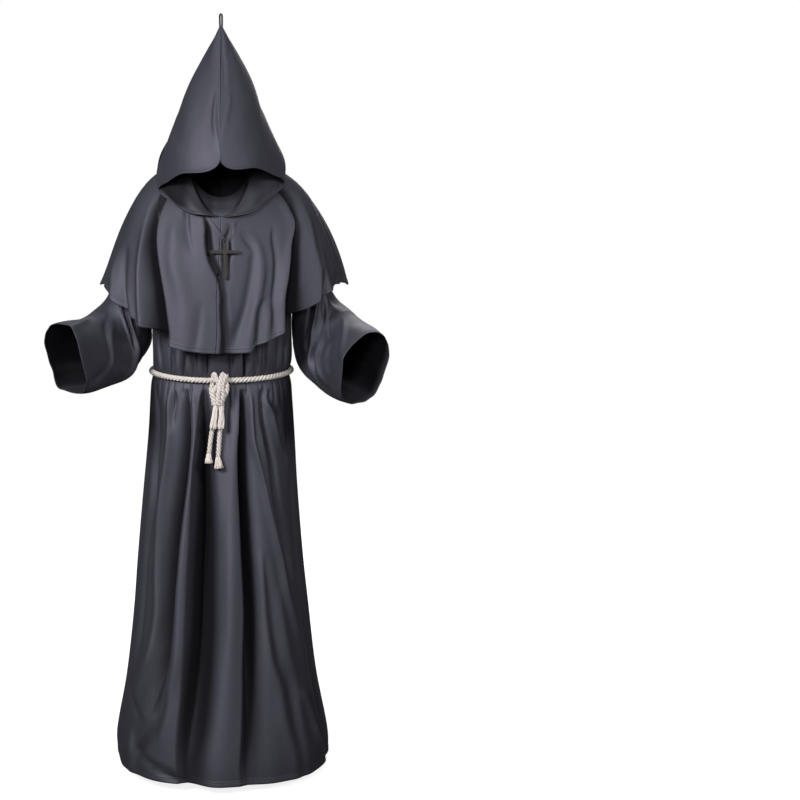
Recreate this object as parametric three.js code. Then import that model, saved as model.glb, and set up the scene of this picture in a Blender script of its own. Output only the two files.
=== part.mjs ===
// A hooded monk robe costume, worn: a full-length robe with bell sleeves, a shoulder cape with a tall
// pointed hood, a rope belt and a cord necklace with a plain cross. Millimetres, +Z up, front towards -Y.
// Left and right are the wearer's own, so left is +X.
import * as THREE from "three";

// Driving dimensions, with the shapes of the big pieces in the tables further down. Heights in every
// table are measured up from the robe's hem.
const NECK_HEIGHT = 1420; // the part's origin: the base of the wearer's neck
const CLOTH = 1.6; // thickness of a cloth wall
const SEAM = 0.3; // gap between two pieces that are sewn together
const SPLIT = 0.1; // degrees each half stops short of a centre seam

// The open centre back of the robe: the left back laps over the right one.
const BACK_OPENING_END = 790; // height at which the opening becomes a seam
const LAP = { degrees: 9, lift: 4, from: 160, full: 176 }; // it lifts off between these two angles

// Armhole: a tall oval cut from each side of the robe. The sleeve's first section stands inside it.
const ARMHOLE = { centre: 1264, halfHeight: 104, halfAngle: 34, inset: 1.5, insetAngle: 0.8, out: 1 };

// The right half of the cape lies over the left one at the centre back.
const CAPE_LAP = { lift: 4, under: 4, top: 4, hem: 36, from: -150, full: -176 };

const HOOD_LEAN = { out: 5, from: 1480 }; // the point leans to the wearer's left, from this height up
const HOOD_SEAM = 3.4; // how far the hood's first section lies above the cape's
const LOOP = { foot: 1722, top: 1774, footHalf: 2.2, halfWidth: 4, deep: 5, thick: 1.4 };

// Rope belt, its knot, and what hangs from the knot.
const ROPE_RADIUS = 6.5; // twisted cotton rope of the belt
const ROPE_GAP = 2; // between the rope and the robe's narrowest ring
const ROPE_ENDS = { left: 4.6, right: 352.9 }; // the angles where the rope enters the knot
const KNOT = { x: -6.5, z: 927, halfWidth: 22, halfDepth: 13, halfHeight: 13.5, off: 5.4 };
const TAIL_RADIUS = 4.5; // the two long tails
const SHORT_END_RADIUS = 5.5;

// Necklace. The ring's wire passes round the cord and through an eye at the top of the cross.
const NECKLACE_RADIUS = 1;
const RING = { radius: 5, wire: 0.9, loose: 0.6 };
const HANG = { x: 8.5, z: 1250, off: 7.5 }; // the cord's lowest point, held off the cape by the ring
const CROSS = { width: 66, height: 88, bar: 8.5, arm: 7, armDrop: 24, thick: 4, corner: 1.5, eye: 2.2 };
const PENDANT_TILT = -6; // degrees the cross's foot is held out by the cape

const RAD = Math.PI / 180;
const clamp = (x, low = 0, high = 1) => Math.min(high, Math.max(low, x));
const mix = (a, b, t) => a + (b - a) * t;
const smooth = (from, to, x) => {
  const t = clamp((x - from) / (to - from));
  return t * t * (3 - 2 * t);
};
const vec = (x, y, z) => new THREE.Vector3(x, y, z);

// ---------------------------------------------------------------------------------------------
// Tables. Each has a row for a section of the cloth, in order, and a named column for each size.

// Makes a table from its column names and its rows. Column s is the place of a row along the piece.
const table = (columns, ...rows) =>
  rows.map((row) => Object.fromEntries(columns.split(" ").map((name, i) => [name, row[i]])));

// One column's value at place s, on a smooth curve through the rows.
function read(rows, column, s) {
  const last = rows.length - 1;
  let i = 0;
  while (i < last - 1 && s > rows[i + 1].s) i++;
  const slope = (k) => {
    const before = rows[Math.max(k - 1, 0)];
    const after = rows[Math.min(k + 1, last)];
    return (after[column] - before[column]) / (after.s - before.s);
  };
  const a = rows[i];
  const b = rows[i + 1];
  const width = b.s - a.s;
  const t = clamp((s - a.s) / width);
  const t2 = t * t;
  const t3 = t2 * t;
  return (
    (2 * t3 - 3 * t2 + 1) * a[column] +
    (t3 - 2 * t2 + t) * width * slope(i) +
    (3 * t2 - 2 * t3) * b[column] +
    (t3 - t2) * width * slope(i + 1)
  );
}

// A signed power of a sine or cosine, which squares off an oval ring as power falls below 1.
const squared = (value, power) => Math.sign(value) * Math.abs(value) ** power;

// What the folds of a cloth add at an angle round the body (degrees from the front, + to the left)
// and a place s down it: out is along the ring's normal, along is sideways round the ring.
function foldAt(folds, angle, s) {
  let out = 0;
  let along = 0;
  for (const fold of folds) {
    const away = (((angle - fold.angle + 540) % 360) - 180) / fold.wide;
    if (Math.abs(away) > 2.2) continue;
    const shape = Math.exp(-away * away * 1.6) * smooth(fold.from, fold.full, s);
    out += fold.deep * shape;
    along += fold.lean * shape;
  }
  return { out, along };
}

// ---------------------------------------------------------------------------------------------
// Cloth walls

// A closed wall of cloth. place(u, v) gives its outer face, u running towards the wearer's left and
// v downwards; the inner face lies one thickness behind it. A looped wall closes on itself along u,
// and a wall with a side (+1 or -1) is a half that keeps to its own side of the centre seam.
function clothWall(name, material, columns, rows, place, { looped = false, side = 0 } = {}) {
  const wide = looped ? columns : columns + 1;
  const outer = [];
  const inner = [];
  const step = 1e-3;
  for (let j = 0; j <= rows; j++) {
    for (let i = 0; i < wide; i++) {
      const u = i / columns;
      const v = j / rows;
      const u0 = looped ? u - step : clamp(u - step);
      const u1 = looped ? u + step : clamp(u + step);
      const across = place(u1, v).sub(place(u0, v));
      const down = place(u, clamp(v + step)).sub(place(u, clamp(v - step)));
      const point = place(u, v);
      const under = point.clone().addScaledVector(down.cross(across).normalize(), -CLOTH);
      if (side) under.x = side * Math.max(side * under.x, SEAM / 2);
      outer.push(point);
      inner.push(under);
    }
  }
  const faces = [];
  const quad = (a, b, c, d) => faces.push(a, b, c, a, c, d);
  const count = outer.length;
  const at = (i, j) => j * wide + (looped ? i % wide : i);
  for (let j = 0; j < rows; j++) {
    for (let i = 0; i < columns; i++) {
      const [a, b, c, d] = [at(i, j), at(i + 1, j), at(i + 1, j + 1), at(i, j + 1)];
      quad(a, d, c, b);
      quad(a + count, b + count, c + count, d + count);
    }
  }
  for (let i = 0; i < columns; i++) {
    const [a, b] = [at(i, 0), at(i + 1, 0)];
    quad(a, b, b + count, a + count);
    const [c, d] = [at(i, rows), at(i + 1, rows)];
    quad(d, c, c + count, d + count);
  }
  if (!looped) {
    for (let j = 0; j < rows; j++) {
      const [a, b] = [at(0, j), at(0, j + 1)];
      quad(b, a, a + count, b + count);
      const [c, d] = [at(columns, j), at(columns, j + 1)];
      quad(c, d, d + count, c + count);
    }
  }
  const geometry = new THREE.BufferGeometry();
  geometry.setFromPoints([...outer, ...inner]);
  geometry.setIndex(faces);
  geometry.computeVertexNormals();
  return meshOf(name, geometry, material);
}

function meshOf(name, geometry, material) {
  const mesh = new THREE.Mesh(geometry, material);
  mesh.name = name;
  return mesh;
}

// ---------------------------------------------------------------------------------------------
// Robe

const ROBE = table(
  "s height half front back drop rise shift tip",
  [0, 1440, 76, 98, 76, 94, 32, 0, 0], // neckline
  [1, 1423, 108, 107, 92, 101, 26, 0, 0],
  [2, 1404, 140, 113, 105, 98, 17, 0, 0],
  [3, 1380, 166, 119, 114, 91, 9, 0, 0], // shoulder tip
  [4, 1325, 174, 125, 115, 62, 4, 0, 0],
  [5, 1248, 171, 129, 110, 22, 2, 0, 0],
  [6, 1160, 168, 131, 106, 6, 0, 0, 0],
  [7, 1080, 166, 132, 104, 0, 0, 0, 0],
  [8, 1010, 166, 135, 106, 0, 4, 0, 0], // blousing over the belt
  [9, 968, 165, 133, 106, 6, 12, 0, 0],
  [10, 950, 163, 127, 102, 12, 18, -1, 0],
  [11, 938, 157, 119, 97, 15, 20, -2, 0], // belt line
  [12, 924, 163, 123, 101, 14, 18, -3, 0],
  [13, 890, 168, 131, 111, 8, 12, -3, 0],
  [14, 777, 171, 147, 129, 0, 0, -4, 0],
  [15, 660, 177, 163, 144, 0, 0, -6, 0],
  [16, 485, 191, 193, 170, 0, 0, -9, 0],
  [17, 355, 204, 213, 188, 0, 0, -8, 1],
  [18, 200, 224, 237, 208, 0, 0, -9, 3],
  [19, 60, 251, 262, 228, 0, 0, -8, 6],
  [20, 0, 253, 268, 230, 0, 0, -6, 7], // hem
);
const ROBE_ROWS = 20;
const BELT_ROW = 11;

// Folds of the robe, below and above the belt. from and full are rows of the robe's table.
const ROBE_FOLDS = table(
  "angle wide deep lean from full",
  [-14, 6, -20, 0, 12.4, 15],
  [-27, 5, 9, 0, 12.2, 15],
  [-42, 6, -13, 0, 12.2, 17],
  [12, 6, -19, 0, 12.2, 14.5],
  [22, 5, 10, 0, 13, 16],
  [37, 6, -10, 0, 13, 17],
  [62, 8, -11, 0, 14, 18],
  [-66, 8, -11, 0, 14, 18],
  [97, 8, -12, 0, 13, 17],
  [-99, 8, -10, 0, 13, 17],
  [122, 9, -14, 0, 12.4, 16],
  [-126, 9, -14, 0, 12.4, 16],
  [152, 8, -15, 0, 12.4, 16],
  [-155, 8, -14, 0, 12.4, 16],
);

// Half the angle that the armhole takes out of the robe's ring at a height.
const armholeAngle = (height) => {
  const t = (height - ARMHOLE.centre) / ARMHOLE.halfHeight;
  return Math.abs(t) < 1 ? ARMHOLE.halfAngle * Math.sqrt(1 - t * t) : 0;
};

// A point of the robe's outer face. outward moves it off the cloth. In the table drop and rise are how
// far the ring hangs lower in front and higher behind, and tip how far it hangs lower on the left.
function robePoint(angle, s, outward = 0) {
  const side = Math.sin(angle * RAD);
  const ahead = Math.cos(angle * RAD);
  const fold = foldAt(ROBE_FOLDS, angle, s);
  const half = read(ROBE, "half", s);
  const depth = ahead > 0 ? read(ROBE, "front", s) : read(ROBE, "back", s);
  const tilt = ahead > 0 ? -read(ROBE, "drop", s) : read(ROBE, "rise", s);
  const grow = 1 + (fold.out + outward) / Math.hypot(half * side, depth * ahead);
  return vec(
    half * grow * squared(side, 0.92) + read(ROBE, "shift", s),
    -depth * grow * squared(ahead, 0.92),
    read(ROBE, "height", s) + tilt * Math.abs(ahead) ** 1.3 - read(ROBE, "tip", s) * side,
  );
}

// Rows crowd where the cloth turns: each even step of v is one row of the table.
function robePanel(name, material, columns, left, right, lap = () => 0) {
  return clothWall(name, material, columns, ROBE_ROWS, (u, v) => {
    const s = v * ROBE_ROWS;
    const angle = mix(left(s), right(s), u);
    return robePoint(angle, s, lap(angle, s));
  });
}

// ---------------------------------------------------------------------------------------------
// Sleeves: a fan of sections from the armhole round the bent elbow to the cuff. Each section has the
// point on its top line, the one on its under line, its half width and the way that width points
// (swing, degrees from the wearer's front-to-back line).
const SLEEVE = table(
  "s topX topY topZ underX underY underZ wide swing",
  [1, 203, 4, 1338, 181, 14, 1090, 78, 0],
  [2, 226, 7, 1282, 185, 22, 1036, 80, 0],
  [3, 248, 8, 1208, 189, 22, 1000, 80, 0],
  [4, 274, 4, 1118, 198, 6, 960, 76, 12],
  [5, 300, -28, 1080, 218, -38, 928, 72, 26],
  [6, 318, -90, 1066, 246, -100, 906, 68, 38],
  [7, 333, -160, 1060, 276, -164, 896, 66, 48],
  [8, 345, -236, 1055, 303, -232, 888, 66, 57],
);
const SLEEVE_ROWS = 8;
// How each sleeve differs from the table: how much further out its upper arm is, how much further out
// and higher its top line and its under line end at the cuff, and the cuff's swing.
const ARM = {
  left: { upperOut: 0, topOut: -6, topLift: -17, underOut: 0, underLift: -12, swing: 0 },
  right: { upperOut: -12, topOut: 18, topLift: 8, underOut: 30, underLift: 16, swing: -13 },
};

// The row of the robe's table that lies at a height, at the side of the body.
function rowAtHeight(height) {
  let low = 0;
  let high = ROBE_ROWS;
  for (let i = 0; i < 40; i++) {
    const middle = (low + high) / 2;
    if (read(ROBE, "height", middle) > height) low = middle;
    else high = middle;
  }
  return low;
}

function sleevePoint(turn, s, arm) {
  const up = Math.cos(turn * RAD);
  const along = Math.sin(turn * RAD);
  const armhole = () => {
    const height = ARMHOLE.centre + (ARMHOLE.halfHeight - ARMHOLE.inset) * up;
    const angle = 90 - (armholeAngle(height) - ARMHOLE.insetAngle) * Math.sign(along);
    return robePoint(angle, rowAtHeight(height), ARMHOLE.out);
  };
  const at = Math.max(s, 1);
  const share = ((at - 1) / (SLEEVE_ROWS - 1)) ** 2.4; // of the cuff's own reach
  const top = vec(
    read(SLEEVE, "topX", at) + mix(arm.upperOut, arm.topOut, share),
    read(SLEEVE, "topY", at),
    read(SLEEVE, "topZ", at) + arm.topLift * share,
  );
  const under = vec(
    read(SLEEVE, "underX", at) + arm.underOut * share,
    read(SLEEVE, "underY", at),
    read(SLEEVE, "underZ", at) + arm.underLift * share,
  );
  const swing = (read(SLEEVE, "swing", at) + arm.swing * share) * RAD;
  const wide = read(SLEEVE, "wide", at) * squared(along, 0.86);
  const tube = top
    .clone()
    .add(under)
    .multiplyScalar(0.5)
    .addScaledVector(top.sub(under), 0.5 * squared(up, 0.86))
    .add(vec(-Math.sin(swing) * wide, -Math.cos(swing) * wide, 0));
  if (s >= 1) return tube;
  return armhole().lerp(tube, s);
}

// ---------------------------------------------------------------------------------------------
// Cape: sections from the neck seam over the shoulders to its hem.
const CAPE = table(
  "s half sideZ front frontZ back backZ shift",
  [0, 76, 1446, 134, 1302, 78, 1494, 0],
  [1, 114, 1424, 141, 1272, 94, 1468, 2],
  [2, 156, 1400, 148, 1232, 112, 1432, 4],
  [3, 185, 1374, 153, 1200, 126, 1400, 6],
  [4, 214, 1334, 158, 1158, 138, 1358, 8],
  [5, 236, 1290, 163, 1114, 147, 1310, 10],
  [6, 256, 1240, 168, 1072, 154, 1262, 11],
  [7, 274, 1188, 173, 1028, 160, 1214, 10],
  [8, 290, 1138, 178, 988, 165, 1170, 6],
);
const CAPE_ROWS = 8;
const CAPE_FOLDS = table(
  "angle wide deep lean from full",
  [1, 3, -7, 0, 3, 8],
  [-9, 5, -7, 0, 1, 4],
  [-33, 6, -36, 3, 1, 6],
  [-47, 8, 24, -12, 1.5, 7],
  [-62, 7, -26, -8, 3, 8],
  [27, 6, 16, 8, 2, 6],
  [39, 7, -44, 4, 1.8, 6],
  [62, 10, 8, 0, 3, 7],
  [84, 7, -10, 0, 5, 8],
  [-88, 8, -8, 0, 5, 8],
  [118, 9, -14, 0, 3, 8],
  [-116, 9, -13, 0, 3, 8],
  [145, 8, 10, 0, 2, 7],
  [-148, 9, -12, 0, 2, 7],
  [165, 7, -9, 0, 2, 7],
);

function capePoint(angle, s, outward = 0) {
  const fold = foldAt(CAPE_FOLDS, angle, s);
  const half = read(CAPE, "half", s);
  const side = Math.sin(angle * RAD);
  const ahead = Math.cos(angle * RAD);
  const depth = ahead > 0 ? read(CAPE, "front", s) : read(CAPE, "back", s);
  const middle = read(CAPE, "sideZ", s);
  const end = ahead > 0 ? read(CAPE, "frontZ", s) : read(CAPE, "backZ", s);
  const length = Math.hypot(half * side, depth * ahead);
  const grow = 1 + (fold.out + outward) / length;
  const turn = fold.along / length;
  const x = half * grow * squared(side, 0.9);
  const y = -depth * grow * squared(ahead, 0.9);
  return vec(
    x * Math.cos(turn) - y * Math.sin(turn) + read(CAPE, "shift", s),
    y * Math.cos(turn) + x * Math.sin(turn),
    middle + (end - middle) * Math.abs(ahead) ** 1.35,
  );
}

// ---------------------------------------------------------------------------------------------
// Hood: oval sections of one half, from the neck seam up to the point. Each runs from the centre back
// round the side of the head. turn is how far round it goes: the cowl's rim ends sections 1 to 3, the
// cheek is 4, the brow 5 and 6, and from 7 up the halves meet in the crown seam. dip lowers the side.
const HOOD = table(
  "s backY backZ frontY frontZ half dip turn",
  [0, 79, 1496, -135, 1304.5, 77, -50, 180],
  [1, 97, 1524, -148, 1293, 109, -36, 161],
  [2, 110, 1550, -152, 1270, 131, -26, 140],
  [3, 117, 1572, -154, 1252, 144, -14, 119],
  [4, 119, 1592, -190, 1218, 148, -2, 101],
  [5, 116, 1610, -204, 1272, 130, 0, 109],
  [6, 108, 1630, -202, 1362, 108, 4, 132],
  [7, 96, 1650, -182, 1427, 97, 6, 180],
  [8, 76, 1676, -148, 1515, 79, 4, 180],
  [9, 48, 1702, -100, 1602, 52, 2, 180],
  [10, 21, 1722, -50, 1676, 27, 0, 180],
  [11, 4, 1733, -12, 1731, 5, 0, 180],
);
const HOOD_ROWS = 11;
// The hood sits lower and closer on the wearer's right.
const HOOD_SIDE = { left: { lift: 9, wide: 1 }, right: { lift: -8, wide: 0.975 } };

// A point of a half's outer face, for the left side; u runs from the centre back to the front edge.
function hoodShell(u, s, side) {
  const turn = u * read(HOOD, "turn", s) * RAD;
  const across = Math.max(Math.sin(turn), 0);
  const ahead = (1 - Math.cos(turn)) / 2;
  const loose = smooth(1, 4.5, s) * (1 - smooth(6, 11, s)) * across;
  const pinch = mix(0.95, 1.2, smooth(0, 3, s)); // the seams draw the section out to a point
  return vec(
    Math.max(read(HOOD, "half", s) * across ** pinch * mix(1, side.wide, loose), SEAM / 2),
    mix(read(HOOD, "backY", s), read(HOOD, "frontY", s), ahead),
    mix(read(HOOD, "backZ", s), read(HOOD, "frontZ", s), ahead) -
      read(HOOD, "dip", s) * across ** 2 +
      side.lift * loose,
  );
}

// The shell again, with its first section brought onto the cape's neck seam.
function hoodPoint(u, s, side) {
  const point = hoodShell(u, s, side);
  if (s >= 1) return point;
  const seam = capePoint(180 - 180 * u, 0).add(vec(0, 0, HOOD_SEAM));
  return point.add(seam.sub(hoodShell(u, 0, side)).multiplyScalar((1 - s) ** 2));
}

// ---------------------------------------------------------------------------------------------
// Rope and cord

// A round tube along a smooth curve, in short straight steps.
function tube(name, material, curve, radius, steps, sides) {
  const circle = new THREE.Shape();
  for (let i = 0; i < sides; i++) {
    const turn = (i / sides) * 2 * Math.PI;
    circle[i ? "lineTo" : "moveTo"](radius * Math.cos(turn), radius * Math.sin(turn));
  }
  const geometry = new THREE.ExtrudeGeometry(circle, { extrudePath: curve, steps, curveSegments: 1 });
  return meshOf(name, geometry, material);
}

const through = (points) => new THREE.CatmullRomCurve3(points.map((p) => vec(...p)), false, "centripetal");

// ---------------------------------------------------------------------------------------------
// Assembly

const cloth = new THREE.MeshStandardMaterial({ color: 0x45434d, roughness: 0.55 });
const tape = new THREE.MeshStandardMaterial({ color: 0x4a4852, roughness: 0.6 });
const cotton = new THREE.MeshStandardMaterial({ color: 0xe9dfd6, roughness: 0.9 });
const waxed = new THREE.MeshStandardMaterial({ color: 0x34323a, roughness: 0.7 });
const bronze = new THREE.MeshStandardMaterial({ color: 0x3a3633, roughness: 0.4, metalness: 0.9 });

const costume = new THREE.Group();
costume.position.z = -NECK_HEIGHT;

const seamAngle = (s) => ((SEAM / 2) / read(ROBE, "half", s)) / RAD;
const robeHeight = (s) => read(ROBE, "height", s);
const sideEdge = (s) => 90 - armholeAngle(robeHeight(s)) - seamAngle(s);
costume.add(robePanel("robe_front", cloth, 28, (s) => -sideEdge(s), sideEdge));

// The left back laps over the right one down to the end of the opening, and meets it below.
const lapWidth = (s) => LAP.degrees * smooth(BACK_OPENING_END + 20, BACK_OPENING_END + 150, robeHeight(s));
const lapLift = (s) => LAP.lift * smooth(BACK_OPENING_END - 60, BACK_OPENING_END + 20, robeHeight(s));
const backEdge = (s) => 90 + armholeAngle(robeHeight(s)) + seamAngle(s);
costume.add(
  robePanel("robe_back_left", cloth, 14, backEdge, (s) => 180 - seamAngle(s) + lapWidth(s), (angle, s) =>
    lapLift(s) * smooth(LAP.from, LAP.full, angle),
  ),
  robePanel("robe_back_right", cloth, 13, (s) => -180 + seamAngle(s), (s) => -backEdge(s)),
);

for (const [name, side] of [["left", 1], ["right", -1]]) {
  costume.add(
    clothWall("sleeve_" + name, cloth, 18, 12, (u, v) => {
      const point = sleevePoint(-side * u * 360, v * SLEEVE_ROWS, ARM[name]);
      return vec(side * point.x, point.y, point.z);
    }, { looped: true }),
  );
}

// The cape's two halves, from the centre front seam to the lap at the centre back.
const capeFlap = (s) => mix(CAPE_LAP.top, CAPE_LAP.hem, s / CAPE_ROWS);
costume.add(
  clothWall("cape_left", cloth, 26, CAPE_ROWS, (u, v) =>
    capePoint(mix(SPLIT, 180 + CAPE_LAP.under, u), v * CAPE_ROWS),
  ),
  clothWall("cape_right", cloth, 29, CAPE_ROWS, (u, v) => {
    const s = v * CAPE_ROWS;
    const angle = mix(-180 - capeFlap(s), -SPLIT, u);
    return capePoint(angle, s, CAPE_LAP.lift * (1 - smooth(CAPE_LAP.full, CAPE_LAP.from, angle)));
  }),
);

// The hood's two halves, sewn together at the centre back and over the crown.
for (const [name, side] of [["left", 1], ["right", -1]]) {
  const half = clothWall("hood_" + name, cloth, 12, HOOD_ROWS, (u, v) => {
    const point = hoodPoint(side > 0 ? 1 - u : u, (1 - v) * HOOD_ROWS, HOOD_SIDE[name]);
    return vec(side * point.x, point.y, point.z);
  }, { side });
  const points = half.geometry.getAttribute("position");
  for (let i = 0; i < points.count; i++) {
    points.setX(i, points.getX(i) + HOOD_LEAN.out * smooth(HOOD_LEAN.from, LOOP.foot, points.getZ(i)));
  }
  costume.add(half);
}

// Hanging loop: a folded tape whose two legs are caught in the seam at the hood's point.
function loopOutline(inset) {
  const { foot, top, footHalf, halfWidth } = LOOP;
  const wide = halfWidth - inset;
  const outline = new THREE.Path();
  outline.moveTo(inset - footHalf, foot + inset);
  outline.quadraticCurveTo(-wide, mix(foot, top, 0.4), -wide, top - halfWidth);
  outline.absarc(0, top - halfWidth, wide, Math.PI, 0, true);
  outline.quadraticCurveTo(wide, mix(foot, top, 0.4), footHalf - inset, foot + inset);
  return outline.getPoints(8);
}
const loopShape = new THREE.Shape(loopOutline(0));
loopShape.holes.push(new THREE.Path(loopOutline(LOOP.thick).reverse()));
const loopTape = new THREE.ExtrudeGeometry(loopShape, { depth: LOOP.deep, bevelEnabled: false });
loopTape.rotateX(Math.PI / 2).translate(HOOD_LEAN.out, -1, 0);
costume.add(meshOf("hood_loop", loopTape, tape));

// Rope belt: one turn round the waist, both ends in the knot. It rides over the back lap.
const lapEnd = 180 + LAP.degrees;
const overLap = (angle) =>
  smooth(LAP.from - 5, LAP.full, angle) * (1 - smooth(lapEnd + 3, lapEnd + 15, angle));
const ropeTurn = [];
const ropeSteps = 48;
for (let i = 0; i <= ropeSteps; i++) {
  const angle = mix(ROPE_ENDS.left, ROPE_ENDS.right, i / ropeSteps);
  const outward = ROPE_RADIUS + ROPE_GAP + lapLift(BELT_ROW) * overLap(angle);
  ropeTurn.push(robePoint(angle, BELT_ROW, outward).toArray());
}
costume.add(tube("belt_rope", cotton, through(ropeTurn), ROPE_RADIUS, 80, 10));

// The knot's turns stand a little proud of the belt; the bundle under it is wrapped and tapers.
const knotY = robePoint(0, BELT_ROW, KNOT.halfDepth + KNOT.off).y;
const knotShape = new THREE.SphereGeometry(1, 16, 10);
knotShape.scale(KNOT.halfWidth, KNOT.halfDepth, KNOT.halfHeight).translate(KNOT.x, knotY, KNOT.z);
costume.add(meshOf("belt_knot", knotShape, cotton));

const WRAP = table(
  "s z halfWidth halfDepth x y",
  [0, 913.1, 18, 9, -6.5, -140],
  [1, 903, 24, 12, -6.5, -142],
  [2, 888, 20, 12, -7.5, -144],
  [3, 872, 15, 11.5, -9, -146],
);
// A smooth upright solid through a table of level ovals.
function lofted(name, material, rows, steps, sides) {
  const points = [];
  const faces = [];
  const last = rows.length - 1;
  for (let j = 0; j <= steps; j++) {
    const s = (j / steps) * last;
    for (let i = 0; i < sides; i++) {
      const turn = (i / sides) * 2 * Math.PI;
      points.push(vec(
        read(rows, "x", s) + read(rows, "halfWidth", s) * Math.cos(turn),
        read(rows, "y", s) + read(rows, "halfDepth", s) * Math.sin(turn),
        read(rows, "z", s),
      ));
    }
  }
  const [top, foot] = [points.length, points.length + 1];
  points.push(vec(rows[0].x, rows[0].y, rows[0].z), vec(rows[last].x, rows[last].y, rows[last].z));
  for (let i = 0; i < sides; i++) {
    const next = (i + 1) % sides;
    for (let j = 0; j < steps; j++) {
      const [a, b, c, d] = [j * sides + i, j * sides + next, (j + 1) * sides + next, (j + 1) * sides + i];
      faces.push(a, c, b, a, d, c);
    }
    faces.push(top, i, next, foot, steps * sides + next, steps * sides + i);
  }
  const geometry = new THREE.BufferGeometry().setFromPoints(points);
  geometry.setIndex(faces);
  geometry.computeVertexNormals();
  return meshOf(name, geometry, material);
}
costume.add(lofted("belt_wrap", cotton, WRAP, 6, 16));

// Two short frayed ends hang in front, and two long tails behind them, each ending in a tassel.
costume.add(
  tube("belt_end_right", cotton, through([[-15.5, -151.5, 870.5], [-20, -154.5, 845], [-24, -158.5, 812]]),
    SHORT_END_RADIUS, 6, 10),
  tube("belt_end_left", cotton, through([[-3.5, -151.5, 870.5], [-4, -154.5, 845], [-6, -158.5, 812]]),
    SHORT_END_RADIUS, 6, 10),
  tube("belt_tail_right", cotton,
    through([[-15, -140.6, 870.5], [-22, -144, 830], [-29, -150, 790], [-33, -156, 758]]),
    TAIL_RADIUS, 12, 8),
  tube("belt_tail_left", cotton,
    through([[-4.5, -140.6, 870.5], [-6, -144, 830], [-9, -150, 790], [-12, -157, 750]]),
    TAIL_RADIUS, 12, 8),
);
const TASSELS = {
  right: table(
    "s z halfWidth halfDepth x y",
    [0, 756.6, 5, 5, -33, -157],
    [1, 748, 7, 6, -34, -159],
    [2, 734, 9.5, 7, -35, -162],
  ),
  left: table(
    "s z halfWidth halfDepth x y",
    [0, 748.6, 5, 5, -12, -158],
    [1, 739, 8, 6.5, -12, -160.5],
    [2, 722, 11, 7.5, -11, -164],
  ),
};
for (const side of ["left", "right"]) {
  costume.add(lofted("belt_tassel_" + side, cotton, TASSELS[side], 4, 12));
}

// Necklace: a cord whose two ends are caught under the cowl. It lies on the cape down to its lowest
// point, where the ring behind it holds it off the cloth.
const cordOver = (angle, s) => capePoint(angle, s, NECKLACE_RADIUS + 0.8).toArray();
const hangY = capePoint(3, 1.6).y - HANG.off;
const beside = (offset, rise) => [HANG.x + offset, hangY + 0.8, HANG.z + rise];
costume.add(
  tube("necklace_cord", waxed, through([
    cordOver(-17, 0.15), cordOver(-12, 0.5), beside(-12, 15), beside(-4, 2.5),
    [HANG.x, hangY, HANG.z],
    beside(4, 2.5), beside(12, 15), cordOver(17, 0.7), cordOver(26, 0.3),
  ]), NECKLACE_RADIUS, 36, 8),
);

// The cross and its ring hang from the cord and lie against the sloping front of the cape.
const pendant = new THREE.Group();
pendant.position.set(HANG.x, hangY, HANG.z);
pendant.rotation.x = PENDANT_TILT * RAD;
costume.add(pendant);

const ringCentre = RING.wire + NECKLACE_RADIUS + RING.loose - RING.radius;
const ring = new THREE.TorusGeometry(RING.radius, RING.wire, 8, 20);
ring.rotateY(Math.PI / 2).translate(0, 0, ringCentre);
pendant.add(meshOf("necklace_ring", ring, bronze));

// The cross plate, with its eye.
const eyeZ = ringCentre - RING.radius - RING.wire - RING.loose + CROSS.eye;
const crossTop = eyeZ + 2 * CROSS.eye;
const bar = CROSS.bar / 2;
const reach = CROSS.width / 2;
const armTop = crossTop - CROSS.armDrop;
const armFoot = armTop - CROSS.arm;
const foot = crossTop - CROSS.height;
const crossShape = new THREE.Shape(
  [
    [-bar, crossTop - CROSS.corner], [CROSS.corner - bar, crossTop],
    [bar - CROSS.corner, crossTop], [bar, crossTop - CROSS.corner],
    [bar, armTop], [reach, armTop], [reach, armFoot], [bar, armFoot],
    [bar, foot], [-bar, foot],
    [-bar, armFoot], [-reach, armFoot], [-reach, armTop], [-bar, armTop],
  ].map(([x, z]) => new THREE.Vector2(x, z)),
);
const eye = new THREE.Path();
eye.absarc(0, eyeZ, CROSS.eye, 0, 2 * Math.PI, false);
crossShape.holes.push(eye);
const plate = new THREE.ExtrudeGeometry(crossShape, {
  depth: CROSS.thick,
  bevelEnabled: false,
  curveSegments: 12,
});
plate.rotateX(Math.PI / 2).translate(0, CROSS.thick / 2, 0);
pendant.add(meshOf("cross_pendant", plate, bronze));

export default costume;
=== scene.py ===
import math

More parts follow.
